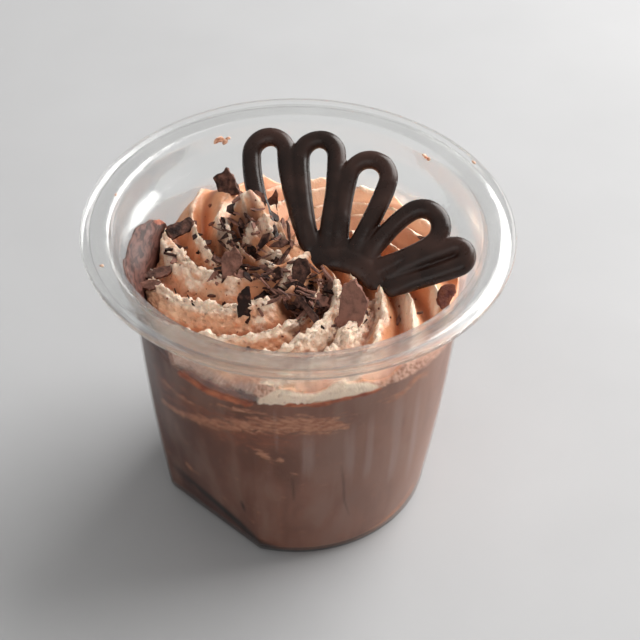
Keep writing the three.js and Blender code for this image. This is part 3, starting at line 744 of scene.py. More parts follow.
# %% Sizes of the rosette
ARMS, SPIRAL = 14, 3.2
CREAM_COLUMNS, CREAM_TOP_ROWS, CREAM_SIDE_ROWS = 560, 140, 24
CREAM_RADIUS, CREAM_CENTRE, CREAM_FALL = 36.0, 65.5, 5.0
ARM_DEPTH, PRESSED, UNEVEN, DEEPER = 3.3, 0.62, 0.4, 1.5
ARMS_START, ARMS_END = (0.04, 0.4), (0.75, 1.0)
LEAN, LEAN_POWER = 0.65, 2.2
ARM_SHIFT = np.array([0, 0, 0, 0, -0.1, -0.22, -0.5, -0.06, 0.3, 0.15, 0, -0.1, -0.2, -0.3])
SHIFT_END = (0.7, 1.0)
HEAPS = [((-10.8, 9.4), 4.1, 75.2), ((-17.5, 24.5), 4.0, 63.6)]  # middle, spread, top


def cream_height(share, phase):
    """Height of the cream at a share of its radius. The phase counts the arms, with a crest at each whole
    number. From a bowl-shaped crest line the height falls by a sine to the valley, and the phase is drawn
    out by a power, so that an arm has a long face after its crest and a steep one before it."""
    arm = np.floor(phase).astype(int)
    past = phase - arm
    leaning = lerp(past, past ** LEAN_POWER, LEAN)
    crest = CREAM_CENTRE - CREAM_FALL * share ** 2
    depth = ARM_DEPTH * smoothstep(share, *ARMS_START) * lerp(1, PRESSED, smoothstep(share, *ARMS_END))
    mixed = lerp(draw(arm % ARMS), draw((arm + 1) % ARMS), smoothstep(leaning, 0.25, 0.75))
    own = UNEVEN * (mixed - 0.5)
    valley = np.sin(np.pi * leaning)
    return crest - depth * ((1 + own) * valley + 0.5 * own + 0.25 * UNEVEN), valley


def arm_shift(phase, share):
    """How far the arms are off their even places, in arms: given per arm, drawn straight between arms, and
    fading out towards the wall."""
    arm = np.floor(phase).astype(int)
    shift = lerp(ARM_SHIFT[arm % ARMS], ARM_SHIFT[(arm + 1) % ARMS], phase - arm)
    return shift * (1 - smoothstep(share, *SHIFT_END))


def heaped(x, y, z):
    """The height z drawn up towards the top of each heap, by a bell over the distance from its middle."""
    for at, spread, top in HEAPS:
        bell = np.exp(-0.5 * np.hypot(x - at[0], y - at[1]) ** 2 / spread ** 2)
        z = lerp(z, np.maximum(top, z), bell)
    return z


def pressed(azimuth):
    """1 where the cream touches the wall and 0 where it stands back from it."""
    azimuth = azimuth % 360
    front = smoothstep(azimuth, 253, 258) * smoothstep(azimuth, 342, 330)
    return np.maximum(front, np.maximum(hump(azimuth, 30, 60) ** 0.5, hump(azimuth, 118, 40) ** 0.5))


print("an arm's valley at the wall:", round(ARM_DEPTH * PRESSED, 1), "mm deep")


# %% The top of the rosette
phase = (np.arange(CREAM_COLUMNS) / CREAM_COLUMNS * ARMS)[None, :]
share = (1 - (np.arange(CREAM_TOP_ROWS) / CREAM_TOP_ROWS) ** 0.95)[:, None]
top_azimuth = (phase + arm_shift(phase, share)) / ARMS * 360 + SPIRAL * CREAM_RADIUS * (1 - share)
top_height, valley = cream_height(share, phase)
fold = smoothstep(share, *ARMS_START) * (1 - 0.6 * smoothstep(share, 0.85, 1.0))
top_height = top_height + (DEEPER - 1) * ARM_DEPTH * fold * (0.45 - valley)
set_back = 0.4 + 1.2 * (1 - pressed(top_azimuth)) + SMEAR_THICKNESS * smear(top_azimuth % 360)
edge_radius = wall_radius(np.minimum(top_height, SHOULDER_FOOT)) - INTO_WALL - set_back
top_radius = share * lerp(CREAM_RADIUS, edge_radius, share ** 4)
top_rings = polar(top_radius, top_azimuth, top_height)
top_rings[..., 2] = heaped(top_rings[..., 0], top_rings[..., 1], top_rings[..., 2])
print("cream's top from", top_rings[..., 2].min().round(1), "to", top_rings[..., 2].max().round(1), "mm")

# %% The side of the rosette
# Behind the plastic the cream is pressed flat at the front, and at the left of it a hollow stays at its foot.
side_azimuth = phase / ARMS * 360
side_up = np.linspace(0, 1, CREAM_SIDE_ROWS + 1)[:-1, None]
side_level = fill_level(side_azimuth)
side_height = lerp(side_level - 1.4, top_height[:1], side_up)
hollow_wall = smoothstep(side_azimuth, 224, 230) * smoothstep(side_azimuth, 258, 255)
hollow_wall = hollow_wall * smoothstep(side_height, side_level + 2.6, side_level + 1.4)
side_back = 1.2 * (1 - pressed(side_azimuth)) + 0.4 * side_up ** 6 + SMEAR_THICKNESS * smear(side_azimuth)
side_back = side_back + 1.2 * smoothstep(side_height, side_level + 0.2, side_level - 0.8)
side_back = side_back + 1.6 * hollow_wall
side_rings = polar(wall_radius(side_height) - INTO_WALL - side_back, side_azimuth, side_height)
floor_share = np.array([0.5, 0.95])[:, None]
floor_rings = side_rings[:1] * np.array([1, 1, 0]) * floor_share[..., None]
floor_rings[..., 2] = side_rings[0, :, 2] + 0.2
cream_rings = np.concatenate([floor_rings, side_rings, top_rings])
BELOW_TOP = 2 + CREAM_SIDE_ROWS
on_top = np.concatenate([np.zeros(BELOW_TOP), np.ones(CREAM_TOP_ROWS)])[:, None]
print("cream grid:", cream_rings.shape)

# %% [markdown]
# ### Tufts and hollows
# Where the nozzle broke off and where shavings fell in, the cream stands up in short torn ridges with dark
# hollows between them. Each is a stroke: a broken line seen from above, with a height and a width. A ridge's
# section is a bell that comes to a point, and its ragged ones are broken up by small lumps.

# %% Where the tufts and hollows are
TUFTS = [  # height, width, how ragged, how pale, line
    (0.7, 0.9, 0.4, 0.9, [(-17.5, 15.5), (-16.5, 19.0), (-15.0, 22.0)]),
    (0.7, 0.8, 0.4, 0.9, [(-15.2, 9.8), (-12.2, 10.0), (-10.4, 9.0), (-8.2, 8.3)]),
    (1.9, 0.7, 0.5, 1.0, [(-17.1, 15.8), (-15.9, 5.9), (-15.4, 3.5), (-14.9, 2.0)]),
    (2.1, 0.9, 0.7, 0.8, [(-3.8, 9.0), (-5.7, 6.9), (-8.1, 5.2), (-9.9, 4.2), (-11.0, 3.6), (-12.3, 3.4),
                          (-13.1, 0.9), (-13.3, -0.0)]),
    (1.4, 1.6, 0.1, 0.25, [(-9.2, 2.1), (-5.9, 2.6), (-2.5, 2.2), (-0.1, 0.5)]),
    (1.8, 0.9, 0.5, 1.0, [(-3.6, -9.1), (-2.4, -6.8), (-1.5, -4.0), (0.4, -2.2), (1.9, -0.2)]),
    (1.4, 0.9, 0.6, 1.0, [(-8.0, -1.7), (-6.6, -2.7), (-5.7, -4.6)]),
    (1.9, 1.1, 0.9, 1.0, [(5.7, -9.5), (7.9, -10.4), (8.7, -13.0), (8.5, -15.3), (7.6, -17.3)]),
    (1.4, 1.4, 1.0, 0.9, [(-8.9, -16.0), (-7.7, -15.3), (-6.4, -15.4), (-5.9, -16.4)]),
    (1.0, 1.2, 1.0, 0.8, [(-7.6, -17.2), (-8.4, -19.4)]),
    (1.0, 0.8, 0.4, 0.5, [(-14.2, -7.0), (-13.2, -4.3), (-11.9, -5.0), (-10.5, -7.8)]),
    (1.7, 1.8, 0.9, 1.0, [(-0.2, -26.6), (2.9, -24.5), (5.5, -22.1), (7.9, -20.8), (9.9, -23.2),
                          (12.8, -21.9), (14.3, -19.2), (16.3, -15.0), (17.4, -12.1)]),
    (2.0, 0.9, 0.9, 1.0, [(15.3, -11.4), (17.2, -11.3), (17.4, -13.9)]),
    (1.5, 0.9, 0.9, 1.0, [(16.3, -16.1), (18.6, -16.5), (18.3, -18.9)]),
    (0.9, 1.3, 1.0, 0.7, [(-16.1, -9.0), (-14.8, -9.1), (-13.5, -10.1)]),
    (1.4, 0.6, 0.4, 0.9, [(-23.7, 14.3), (-23.4, 11.0), (-22.0, 8.0), (-20.6, 2.8), (-19.0, 0.1),
                          (-17.8, -1.5)]),
    (1.3, 0.8, 0.5, 1.0, [(-32.0, 16.0), (-30.8, 9.4), (-29.3, 5.0), (-28.4, 1.9), (-26.5, -0.5),
                          (-25.0, -2.1), (-24.4, -3.8), (-23.1, -5.6), (-21.5, -6.2), (-19.8, -5.9)]),
    (1.1, 0.8, 0.9, 0.9, [(-6.8, 0.2), (-4.2, -0.6), (-2.0, -1.8)]),
    (1.2, 0.7, 0.8, 0.9, [(-7.6, 4.6), (-4.6, 5.2), (-1.8, 4.6)]),
    (1.0, 1.1, 0.1, 1.0, [(22.4, -7.9), (23.6, -11.3), (24.7, -16.8), (25.3, -19.9)]),
    (1.0, 0.9, 0.1, 1.0, [(29.7, -6.4), (30.3, -9.5), (29.8, -12.7)]),
]
HOLLOWS = [  # depth, width, line
    (2.4, 1.3, [(-13.5, 7.0), (-11.7, 6.0), (-9.9, 6.3)]),
    (2.0, 1.2, [(-3.0, 12.0), (-2.1, 8.4)]),
    (2.4, 2.2, [(-4.3, -13.0), (-2.5, -13.5), (-0.3, -14.1), (0.6, -18.7)]),
    (1.8, 1.2, [(-12.9, -0.7), (-10.7, -2.0)]),
    (1.5, 1.3, [(-22.1, 14.6), (-20.1, 9.6), (-18.3, 5.0)]),
    (1.6, 1.2, [(-14.4, 6.0), (-12.6, 5.2), (-10.8, 4.6)]),
    (1.4, 1.1, [(-1.3, -20.4), (0.0, -21.0)]),
    (1.7, 0.9, [(-7.4, 3.4), (-4.6, 3.9), (-2.2, 3.4)]),
    (1.8, 0.9, [(-9.6, -0.6), (-6.4, -1.0), (-3.6, -1.8)]),
    (1.8, 1.0, [(-17.6, 9.0), (-17.0, 4.0), (-16.4, 0.5)]),
    (1.2, 0.9, [(0.5, -28.4), (4.0, -26.8), (8.0, -25.4), (11.0, -26.2)]),
]


def stroke(rings, width, line, point):
    """1 along a broken line seen from above, falling off to the side as exp(-(distance / width)^point) and
    tapered at both ends."""
    away, passed = from_line(rings[..., :2], line)
    taper = np.sin(np.pi * lerp(0.1, 0.9, passed)) ** 0.5
    return taper * np.exp(-(away / width) ** point)


print(len(TUFTS), "tufts and", len(HOLLOWS), "hollows")

# %% Raise the tufts and dig the hollows
jagged = 0.6 * lumps(cream_rings, 0.9, 51) + 0.5 * lumps(cream_rings, 0.45, 52)
tuft_lift, tuft_pale, tuft_torn, dug = np.zeros((4, *cream_rings.shape[:2]))
for height, width, ragged, pale_share, line in TUFTS:
    ridge = stroke(cream_rings, width, line, 1.5)
    tuft_lift = np.maximum(tuft_lift, height * ridge * (1 + ragged * 0.8 * jagged))
    wide_ridge = stroke(cream_rings, width * 1.5, line, 2.0)
    tuft_pale = np.maximum(tuft_pale, pale_share * wide_ridge)
    tuft_torn = np.maximum(tuft_torn, ragged * wide_ridge)
for depth, width, line in HOLLOWS:
    dug = np.maximum(dug, depth * stroke(cream_rings, width, line, 2.0))
cream_rings[..., 2] += (tuft_lift - dug * (1 - 0.7 * tuft_pale)) * on_top
print("highest tuft:", round(float(tuft_lift.max()), 2), "mm")

# %% Where the cream is torn
row_share = np.concatenate([np.ones((BELOW_TOP, 1)), share])
crestness = np.exp(-(valley / 0.34) ** 2) * smoothstep(share, 0.12, 0.3)
crestness = np.concatenate([np.zeros((BELOW_TOP, CREAM_COLUMNS)), crestness])
compass = np.degrees(np.arctan2(cream_rings[..., 1], cream_rings[..., 0])) % 360
front = hump(compass, 236, 80) ** 0.6 * smoothstep(row_share, 0.42, 0.62)
torn = np.clip(0.4 * crestness + front * 1.2 + 0.5 * lumps(cream_rings, 7.0, 31) * crestness, 0, 1)
torn = np.clip(np.maximum(torn * smoothstep(row_share, 0.2, 0.45), tuft_torn), 0, 1)
print("share of the top that is torn:", round(float((torn[BELOW_TOP:] > 0.5).mean()), 2))

# %% Tear the crests
normals = ring_normals(cream_rings)
if normals[60, :, 2].mean() < 0:
    normals = -normals
knobs = 0.6 * lumps(cream_rings, 1.9, 32) + 0.5 * lumps(cream_rings, 0.95, 34)
knobs = knobs + 0.3 * lumps(cream_rings, 0.5, 35)
lift = crestness * (0.35 + 0.65 * torn) * 0.95 * knobs * on_top
popped = np.clip(1 - (nearest_bubble(cream_rings, 1.7, 45) / 0.72) ** 2, 0, 1)
popped = popped + 0.45 * np.clip(1 - (nearest_bubble(cream_rings, 0.85, 46) / 0.72) ** 2, 0, 1)
rough = torn * on_top * (popped - 0.5)
rough = rough + torn * 0.22 * crumble(cream_rings, 1.2, 33) + 0.16 * crumble(cream_rings, 3.2, 36, 2)
print("crests torn by up to", round(float(np.abs(lift).max()), 2), "mm")

# %% Pit the faces
pores = np.clip(1 - nearest_bubble(cream_rings, 1.15, 39) / 0.36, 0, 1)
pores = pores * np.clip(torn * 1.2 - 0.15, 0, 1) * (lumps(cream_rings, 3.1, 40) > -0.5)
at_wall = 1 - on_top
crumbly = at_wall * (1 - pressed(compass)) * (1 - smear(compass))
wall_bubbles = np.clip(1 - nearest_bubble(cream_rings, 1.5, 43) / 0.4, 0, 1) * at_wall
foam = smoothstep(compass, 297, 303) * smoothstep(compass, 345, 338) * at_wall
rough = rough + crumbly * 0.35 * crumble(cream_rings, 1.3, 44)
cream_rings = cream_rings + normals * (rough - 0.7 * pores - 0.5 * wall_bubbles * foam)[..., None]
cream_rings[..., 2] += lift
sideways = np.stack([-np.sin(np.radians(compass)), np.cos(np.radians(compass)), 0 * compass], axis=-1)
curl = crestness ** 2 * on_top * (0.35 + 0.5 * lumps(cream_rings, 4.0, 41))
cream_rings = cream_rings + sideways * curl[..., None]
cream_points, cream_faces = turned((0, 0, FILL_LEVEL - 1.2), cream_rings, (0, 0, CREAM_CENTRE))
print("deepest pore:", round(float(0.7 * pores.max()), 2), "mm")

# %% Paint the cream
# A blob of paler cream lies behind the wall at the front. The cream round it is crumbly.
BLOB_AZIMUTH, BLOB_HALF_ANGLE, BLOB_HEIGHT = 277, 22, 6.5
beige = np.maximum(crestness * (0.35 + 0.65 * torn), tuft_pale)
blob_top = BLOB_HEIGHT * np.sqrt(np.clip(1 - ((compass - BLOB_AZIMUTH) / BLOB_HALF_ANGLE) ** 2, 0, 1))
blob_top = blob_top + 0.7 * lumps(cream_rings, 3.5, 47) - 0.4
over_level = cream_rings[..., 2] - fill_level(compass)
blob = smoothstep(blob_top - over_level, 0, 0.6) * (np.abs(compass - BLOB_AZIMUTH) < BLOB_HALF_ANGLE)
blob = blob * at_wall
round_blob = (1 - blob) * smoothstep(compass, 250, 258) * smoothstep(compass, 304, 298) * at_wall
gap, valley_shade = np.zeros((2, *cream_rings.shape[:2]))
gap[2:BELOW_TOP] = hollow_wall
valley_shade[BELOW_TOP:] = valley ** 3 * smoothstep(share, 0.1, 0.3)
cream_paints = {"beige": beige, "torn": torn, "pore": np.maximum(pores, wall_bubbles * foam),
                "dug": np.clip(dug / 2.0, 0, 1), "valley": valley_shade, "blob": blob, "gap": gap,
                "crumbly": np.maximum(np.maximum(crumbly, round_blob), foam)}
cream = make_piece("piped_cream", cream_points, cream_faces, {
    name: with_poles(values, cream_rings.shape[:2]) for name, values in cream_paints.items()})

# %% [markdown]
# ### Chocolate cream
# Whipped chocolate cream is pale where it is full of air and torn, and a deeper orange-brown where the nozzle
# pressed it smooth. Crests catch dust from the shavings. A little light soaks into it, which softens its
# shadows.

# %% Finish of the cream
soft = Finish("piped cream", colour(214, 160, 128), 0.55, Subsurface_Weight=0.15, Subsurface_Scale=0.001,
              Specular_IOR_Level=0.35, Subsurface_Radius=(1.0, 0.5, 0.3))
x, y, _ = soft.place_parts()
torn_paint = soft.paint("torn")
patch = soft.noise(5.0, detail=3.0)
fine = soft.noise(0.7, detail=3.0)
# Smooth faces are orange-brown and torn ones paler. The back right is the palest: painted window light.
patch_share = soft.between(patch, 0.3, 0.7)
soft.base = soft.blend(patch_share, colour(208, 137, 96), colour(230, 169, 129))
soft.cover(torn_paint * 0.8, soft.blend(patch_share, colour(228, 170, 136), colour(248, 205, 173)))
# Painted light: the window pales the back right.
soft.cover(soft.between(y, 2.0, 20.0) * soft.between(x, -12.0, 2.0) * 0.75, colour(236, 208, 184))
pale_crest = soft.blend(fine, colour(248, 208, 180), colour(255, 238, 218))
soft.cover(soft.broken_up(soft.paint("beige"), fine, 0.5, 0.25, 0.8), pale_crest)
# Behind the wall: the pale blob, crumbs, and the grey shadow in the hollow.
soft.cover(soft.paint("blob"), colour(252, 228, 206))
wall_crumbs = soft.blend(soft.between(fine, 0.35, 0.6), colour(160, 102, 84), colour(236, 196, 176))
soft.cover(soft.paint("crumbly") * 0.85, wall_crumbs)
soft.cover(soft.paint("gap"), colour(58, 48, 50))
# Painted shade makes valleys, pores and hollows deeper brown, and dust from the shavings lies in patches.
soft.cover(soft.broken_up(soft.paint("valley"), patch, 1.2, 0.35, 1.1) * 0.6, colour(168, 88, 56))
soft.cover(soft.paint("pore") * 0.75, colour(140, 76, 50))
soft.cover(soft.paint("dug") * 0.85, colour(90, 42, 26))
dust = soft.between(soft.cells(1.7), 0.06, 0.13, 1.0, 0.0) * soft.between(soft.noise(7.0), 0.5, 0.66)
soft.cover(dust * 0.7, colour(126, 66, 50))
soft.use(Base_Color=soft.base, Roughness=soft.between(torn_paint, 0.0, 1.0, 0.42, 0.68))
soft.bumps(soft.noise(0.45, detail=3.0) * (0.3 + torn_paint * 0.9), 0.32)
finish_piece(cream, soft, ["cream"])
print("cream finished")

# %% [markdown]
# ## The fan
# The fan was piped in one go on a flat sheet and lifted off once it had set: five loops side by side, joined
# by a thicker stroke at the foot. A strand is round in front and flatter behind. Each loop is a section
# carried along its path. The strands then run into each other, as the soft chocolate did, by a fine remesh.

# %% Sizes of the fan
FAN_FOOT = np.array([7.9, -5.1, 63.7])
FAN_LEAN, FAN_TURN = math.radians(55), math.radians(25)
STRAND_HALF_WIDTH, STRAND_FRONT, STRAND_BACK, STRAND_SIDES = 2.2, 2.0, 1.2, 20
LEG_STEPS, TIP_STEPS, FOOT_STEPS = 40, 30, 14
FAN_LOOPS = [  # tip, radius of its bend, the way the loop points, left and right foot
    ((-24.9, 22.4), 4.1, 112, ((-13.9, -0.2), (-7.6, 4.2))),
    ((-13.6, 25.0), 4.2, 111, ((-6.8, 3.3), (-3.8, 4.5))),
    ((-0.7, 23.5), 4.5, 93, ((-1.3, 5.0), (1.9, 5.2))),
    ((14.6, 16.2), 4.5, 54, ((4.8, 5.4), (7.4, 3.6))),
    ((24.2, 12.4), 2.4, 38, ((9.6, 2.8), (11.6, 0.4))),
]
FAN_FOOT_PATH = np.array([[-8.4, 2], [-4.6, 3], [0.5, 4.3], [6, 3.8], [11, 0.8]])
FAN_FOOT_HALF_WIDTH, FAN_FOOT_FRONT = 2.8, 1.4
SUNK_END, FULL_FROM = 0.5, (1.0, 8.0)  # a strand's front at its very end, and where it is full again
SHEET_RIGHT = np.array([math.cos(FAN_TURN), -math.sin(FAN_TURN), 0])
SHEET_UP = np.array([math.sin(FAN_TURN) * math.sin(FAN_LEAN), math.cos(FAN_TURN) * math.sin(FAN_LEAN),
                     math.cos(FAN_LEAN)])
SHEET_FRONT = np.cross(SHEET_RIGHT, SHEET_UP)
print("the fan's sheet faces", SHEET_FRONT.round(2))


# %% Paths of the fan
def bezier(a, b, c, d, steps):
    """A cubic curve from a to d that leaves towards b and arrives from c."""
    t = np.linspace(0, 1, steps)[:, None]
    return a * (1 - t) ** 3 + 3 * b * t * (1 - t) ** 2 + 3 * c * t ** 2 * (1 - t) + d * t ** 3


def loop_path(tip, radius, axis, feet):
    """The centre line of one loop on the sheet: up its left leg, nearly half a turn, and down its right."""
    tip = np.array(tip)
    forward = np.array([math.cos(math.radians(axis)), math.sin(math.radians(axis))])
    left = np.array([-forward[1], forward[0]])
    legs = []
    for foot, side in zip(np.array(feet), (1, -1)):
        shoulder = tip + left * side * radius
        pull = shoulder - forward * 0.38 * np.linalg.norm(shoulder - foot)
        legs.append(bezier(foot, lerp(foot, shoulder, 0.25), pull, shoulder, LEG_STEPS))
    bend = np.radians(np.linspace(85, -85, TIP_STEPS))[:, None]
    tip_bend = tip + radius * (forward * np.cos(bend) + left * np.sin(bend))
    return np.vstack([legs[0], tip_bend, legs[1][::-1]])


def smooth_path(corners, steps):
    """A smooth line through the corners, as a cardinal spline, with steps points on each stretch."""
    padded = np.vstack([2 * corners[0] - corners[1], corners, 2 * corners[-1] - corners[-2]])
    t = np.linspace(0, 1, steps, endpoint=False)[:, None]
    stretches = []
    for before, start, end, after in zip(padded, padded[1:], padded[2:], padded[3:]):
        stretches.append(start + 0.5 * t * (end - before)
                         + t ** 2 * (before - 2.5 * start + 2 * end - 0.5 * after)
                         + t ** 3 * (-0.5 * before + 1.5 * start - 1.5 * end + 0.5 * after))
    return np.vstack([*stretches, corners[-1:]])


print("points along a loop:", len(loop_path(*FAN_LOOPS[0])))


# %% A piped strand
def strand(path, half_width, seed, front=STRAND_FRONT):
    """Points and faces of a piped strand. Its section is half an oval to the front and a flatter one behind;
    its width wavers a little along the path, its front sinks towards both ends, where it ran into the others,
    and the ends are rounded off like the end of an oval."""
    steps = np.gradient(path, axis=0)
    along = steps / np.linalg.norm(steps, axis=1, keepdims=True)
    across = np.stack([-along[:, 1], along[:, 0]], axis=-1)
    travelled = np.concatenate([[0], np.cumsum(np.linalg.norm(np.diff(path, axis=0), axis=1))])
    to_end = np.minimum(travelled, travelled[-1] - travelled)
    rounding = np.sqrt(np.clip(1 - (1 - np.minimum(to_end / half_width, 1)) ** 2, 0.03, 1))
    waver = 1 + 0.05 * lumps(np.stack([travelled, 0 * travelled, 0 * travelled], -1), 5.0, seed)
    angle = np.arange(STRAND_SIDES) * 2 * np.pi / STRAND_SIDES
    rise = np.sin(angle) * np.where(np.sin(angle) > 0, front, STRAND_BACK)
    wide = (half_width * waver * rounding)[:, None] * np.cos(angle)
    flat = path[:, None, :] + across[:, None, :] * wide[..., None]
    sunk = lerp(SUNK_END, 1, smoothstep(to_end, *FULL_FROM))
    proud = (rounding * waver)[:, None] * np.where(rise > 0, rise * sunk[:, None], rise)
    return capped(FAN_FOOT + flat[..., :1] * SHEET_RIGHT + flat[..., 1:] * SHEET_UP
                  + proud[..., None] * SHEET_FRONT)


print("a strand is", 2 * STRAND_HALF_WIDTH, "mm wide")


# %% Pipe the fan
VOXEL, SOFTEN, SOFTEN_PASSES, DRAG_MARKS = 0.3, 0.5, 4, 0.05
strands = [strand(loop_path(*loop), STRAND_HALF_WIDTH, 50 + k) for k, loop in enumerate(FAN_LOOPS)]
strands.append(strand(smooth_path(FAN_FOOT_PATH, FOOT_STEPS), FAN_FOOT_HALF_WIDTH, 60, FAN_FOOT_FRONT))
piped = make_piece("piped_strands", *joined(strands))
run_together = piped.modifiers.new("run together", "REMESH")
run_together.mode = "VOXEL"
run_together.voxel_size = VOXEL * MM
soften = piped.modifiers.new("soften", "SMOOTH")
soften.factor = SOFTEN
soften.iterations = SOFTEN_PASSES
bpy.context.view_layer.update()
fan_mesh = bpy.data.meshes.new_from_object(piped.evaluated_get(bpy.context.evaluated_depsgraph_get()))
bpy.data.objects.remove(piped)


def read_vectors(mesh, quantity):
    """One vector per vertex of a mesh, such as its place, co, or its normal."""
    flat = np.zeros(len(mesh.vertices) * 3, np.float32)
    mesh.vertices.foreach_get(quantity, flat)
    return flat.reshape(-1, 3).astype(float)


fan_points = read_vectors(fan_mesh, "co") / MM
fan_points += read_vectors(fan_mesh, "normal") * (DRAG_MARKS * crumble(fan_points, 2.6, 61, 2))[:, None]
fan_mesh.vertices.foreach_set("co", (fan_points * MM).astype(np.float32).ravel())
fan_mesh.polygons.foreach_set("use_smooth", np.ones(len(fan_mesh.polygons), bool))
fan_mesh.update()
fan_mesh.name = "chocolate_fan"
fan = bpy.data.objects.new("chocolate_fan", fan_mesh)
bpy.context.scene.collection.objects.link(fan)
print("fan has", len(fan_mesh.polygons), "faces")

# %% [markdown]
# ### Set dark chocolate
# Dark chocolate sets nearly black, with a soft sheen and faint drag lines. The sheen comes from a middling
# roughness that varies, with a fine relief to break it up, and from a painted sheen of lighter brown patches.

# %% Finish of the fan
set_dark = Finish("set dark chocolate", colour(48, 31, 27), 0.3, Specular_IOR_Level=0.32, Coat_Weight=0.1,
                  Coat_Roughness=0.15)
bloom = set_dark.noise(5.0, detail=4.0)
sheen_side = set_dark.noise(11.0, detail=1.0)
set_dark.base = set_dark.blend(set_dark.between(bloom, 0.35, 0.8), colour(33, 17, 11), colour(54, 33, 26))
# Painted sheen: broad patches of lighter brown.
set_dark.cover(set_dark.between(sheen_side, 0.45, 0.7) * 0.5, colour(76, 50, 42))
set_dark.use(Base_Color=set_dark.base, Roughness=set_dark.between(bloom, 0.3, 0.75, 0.22, 0.42))
set_dark.bumps(set_dark.noise(0.9, detail=3.0), 0.05)
finish_piece(fan, set_dark, ["fan"])
print("fan finished")

# %% [markdown]
# ## The flakes
# Eleven larger flakes were broken from a thin slab. Each has its own outline, rough along its broken edges,
# and two nearly flat faces. The same turned skin serves: rings from the middle of one face out to the edge,
# over the edge, and back to the middle of the other face.

# %% Sizes of the flakes
FLAKES = [  # name, shade, middle, thickness, the way its face looks, its slope, corners in its own flat frame
    ("flake_plate", 0.8, (11.9, -17.3, 66.4), 1.1, 258, 60,
     ((-2.8, -5.0), (1.7, -6.9), (2.8, -0.7), (3.0, 1.5), (1.1, 4.1), (-0.2, 5.7), (-2.7, 4.1))),
    ("flake_back", 0.35, (-16.5, 26.7, 65.3), 1.6, 250, 50,
     ((-1.9, -2.8), (-0.6, -3.9), (3.7, -2.2), (1.7, 0.5), (-0.9, 2.9), (-3.4, -0.1))),
    ("flake_back_left", 0.25, (-26.9, 12.7, 62.0), 1.0, 290, 26,
     ((-3.5, 0.4), (-2.6, -2.3), (0.4, -1.5), (2.8, -0.7), (3.8, 0.7), (2.9, 2.2), (-1.9, 1.2))),
    ("flake_left", 0.4, (-31.4, -1.1, 60.7), 1.0, 285, 24,
     ((-3.9, -0.8), (-0.5, -1.5), (2.3, -1.3), (3.6, -0.2), (3.4, 1.0), (-1.3, 0.9))),
    ("flake_front_left", 0.6, (-32.5, -6.1, 61.4), 0.9, 262, 30,
     ((-2.7, 0.2), (-1.9, -0.9), (-0.0, -1.3), (2.7, 0.2), (2.5, 1.0), (-0.2, 1.3))),
    ("flake_upright", 0.6, (-14.6, -4.8, 66.8), 0.9, 280, 58,
     ((-2.5, -4.1), (-1.2, -4.9), (0.3, -1.9), (2.2, -0.3), (2.5, 1.0), (1.1, 3.5), (-1.4, 2.6),
      (-2.3, 0.6))),
    ("flake_middle", 0.3, (0.6, -7.0, 67.0), 0.9, 262, 52,
     ((-2.0, -3.9), (0.0, -4.1), (1.3, -2.1), (2.2, 0.1), (0.8, 2.7), (-0.5, 2.6), (-1.9, 1.3))),
    ("flake_front", 0.05, (-11.3, -15.5, 65.3), 0.9, 265, 60,
     ((-1.5, -3.4), (0.9, -4.7), (1.7, -1.8), (1.2, 1.9), (0.6, 3.3), (-0.1, 3.3), (-1.4, 0.9))),
    ("flake_right", 0.35, (32.5, -8.9, 62.3), 2.2, 285, 40,
     ((-1.7, 0.6), (-0.7, 2.0), (1.0, 2.4), (2.2, 1.6), (2.2, 0.3), (1.0, -0.7), (-0.2, -2.8),
      (-2.0, -3.2), (-2.2, -0.9))),
    ("flake_pointed", 0.6, (-6.5, 19.0, 64.8), 0.9, 268, 62,
     ((-1.7, -4.4), (1.3, -4.5), (1.7, -1.7), (1.6, 2.2), (1.2, 3.2), (-0.4, 1.2), (-1.5, 0.0))),
    ("flake_sliver", 0.3, (3.0, -18.4, 64.7), 0.9, 240, 38,
     ((-2.0, 0.3), (0.8, -1.5), (3.4, -2.7), (4.2, -2.0), (-0.2, 0.7), (-3.4, 2.7), (-4.2, 2.1))),
]
CORNER_STEPS, TORN_EDGE, JAGS, FACE_RELIEF, WARP = 12, 0.35, 0.3, 0.13, 0.12
UP_A_FACE = np.array([0.12, 0.35, 0.6, 0.82, 0.94, 0.985, 1.0])  # a ring's size, from the middle outwards


def turning(face, slope):
    """The matrix that turns a flat chip: up by its slope, then round to the way its upper face looks."""
    return np.array(Matrix.Rotation(math.radians(face - 270), 3, "Z")
                    @ Matrix.Rotation(math.radians(slope), 3, "X"))


def broken_flake(corners, thick, seed):
    """Points and faces of a flake: rings shrink towards the middle of each face, and the rows over the edge
    are shifted at random by some tenths of a millimetre, as a brittle edge breaks."""
    corners = np.array(corners)
    t = np.linspace(0, 1, CORNER_STEPS, endpoint=False)[:, None]
    outline = np.vstack([lerp(a, b, t) for a, b in zip(corners, np.roll(corners, -1, axis=0))])
    middle = corners.mean(axis=0)
    half = thick / 2
    inwards = np.concatenate([UP_A_FACE, [1.0], UP_A_FACE[::-1]])
    level = np.array([-1, -1, -1, -1, -1, -0.96, -0.6, 0, 0.6, 0.96, 1, 1, 1, 1, 1]) * half
    heights = np.broadcast_to(level[:, None, None], (len(level), len(outline), 1))
    rings = np.concatenate([middle + (outline - middle)[None] * inwards[:, None, None], heights], axis=-1)
    spot = rings + seed * 7.7
    edge = smoothstep(inwards, 0.9, 0.99)[:, None]
    jag = np.stack([lumps(spot, 0.9, 70), lumps(spot, 0.9, 71)], axis=-1)
    torn_edge = np.stack([lumps(spot, 2.3, 76), lumps(spot, 2.3, 77)], axis=-1)
    rings[..., :2] += edge[..., None] * (JAGS * jag + TORN_EDGE * torn_edge)
    relief = FACE_RELIEF * crumble(spot, 2.0, 72) * np.sign(level)[:, None]
    rings[..., 2] += relief + WARP * lumps(spot, 5.0, 75)
    return turned((*middle, -half), rings, (*middle, half))


print(len(FLAKES), "flakes")

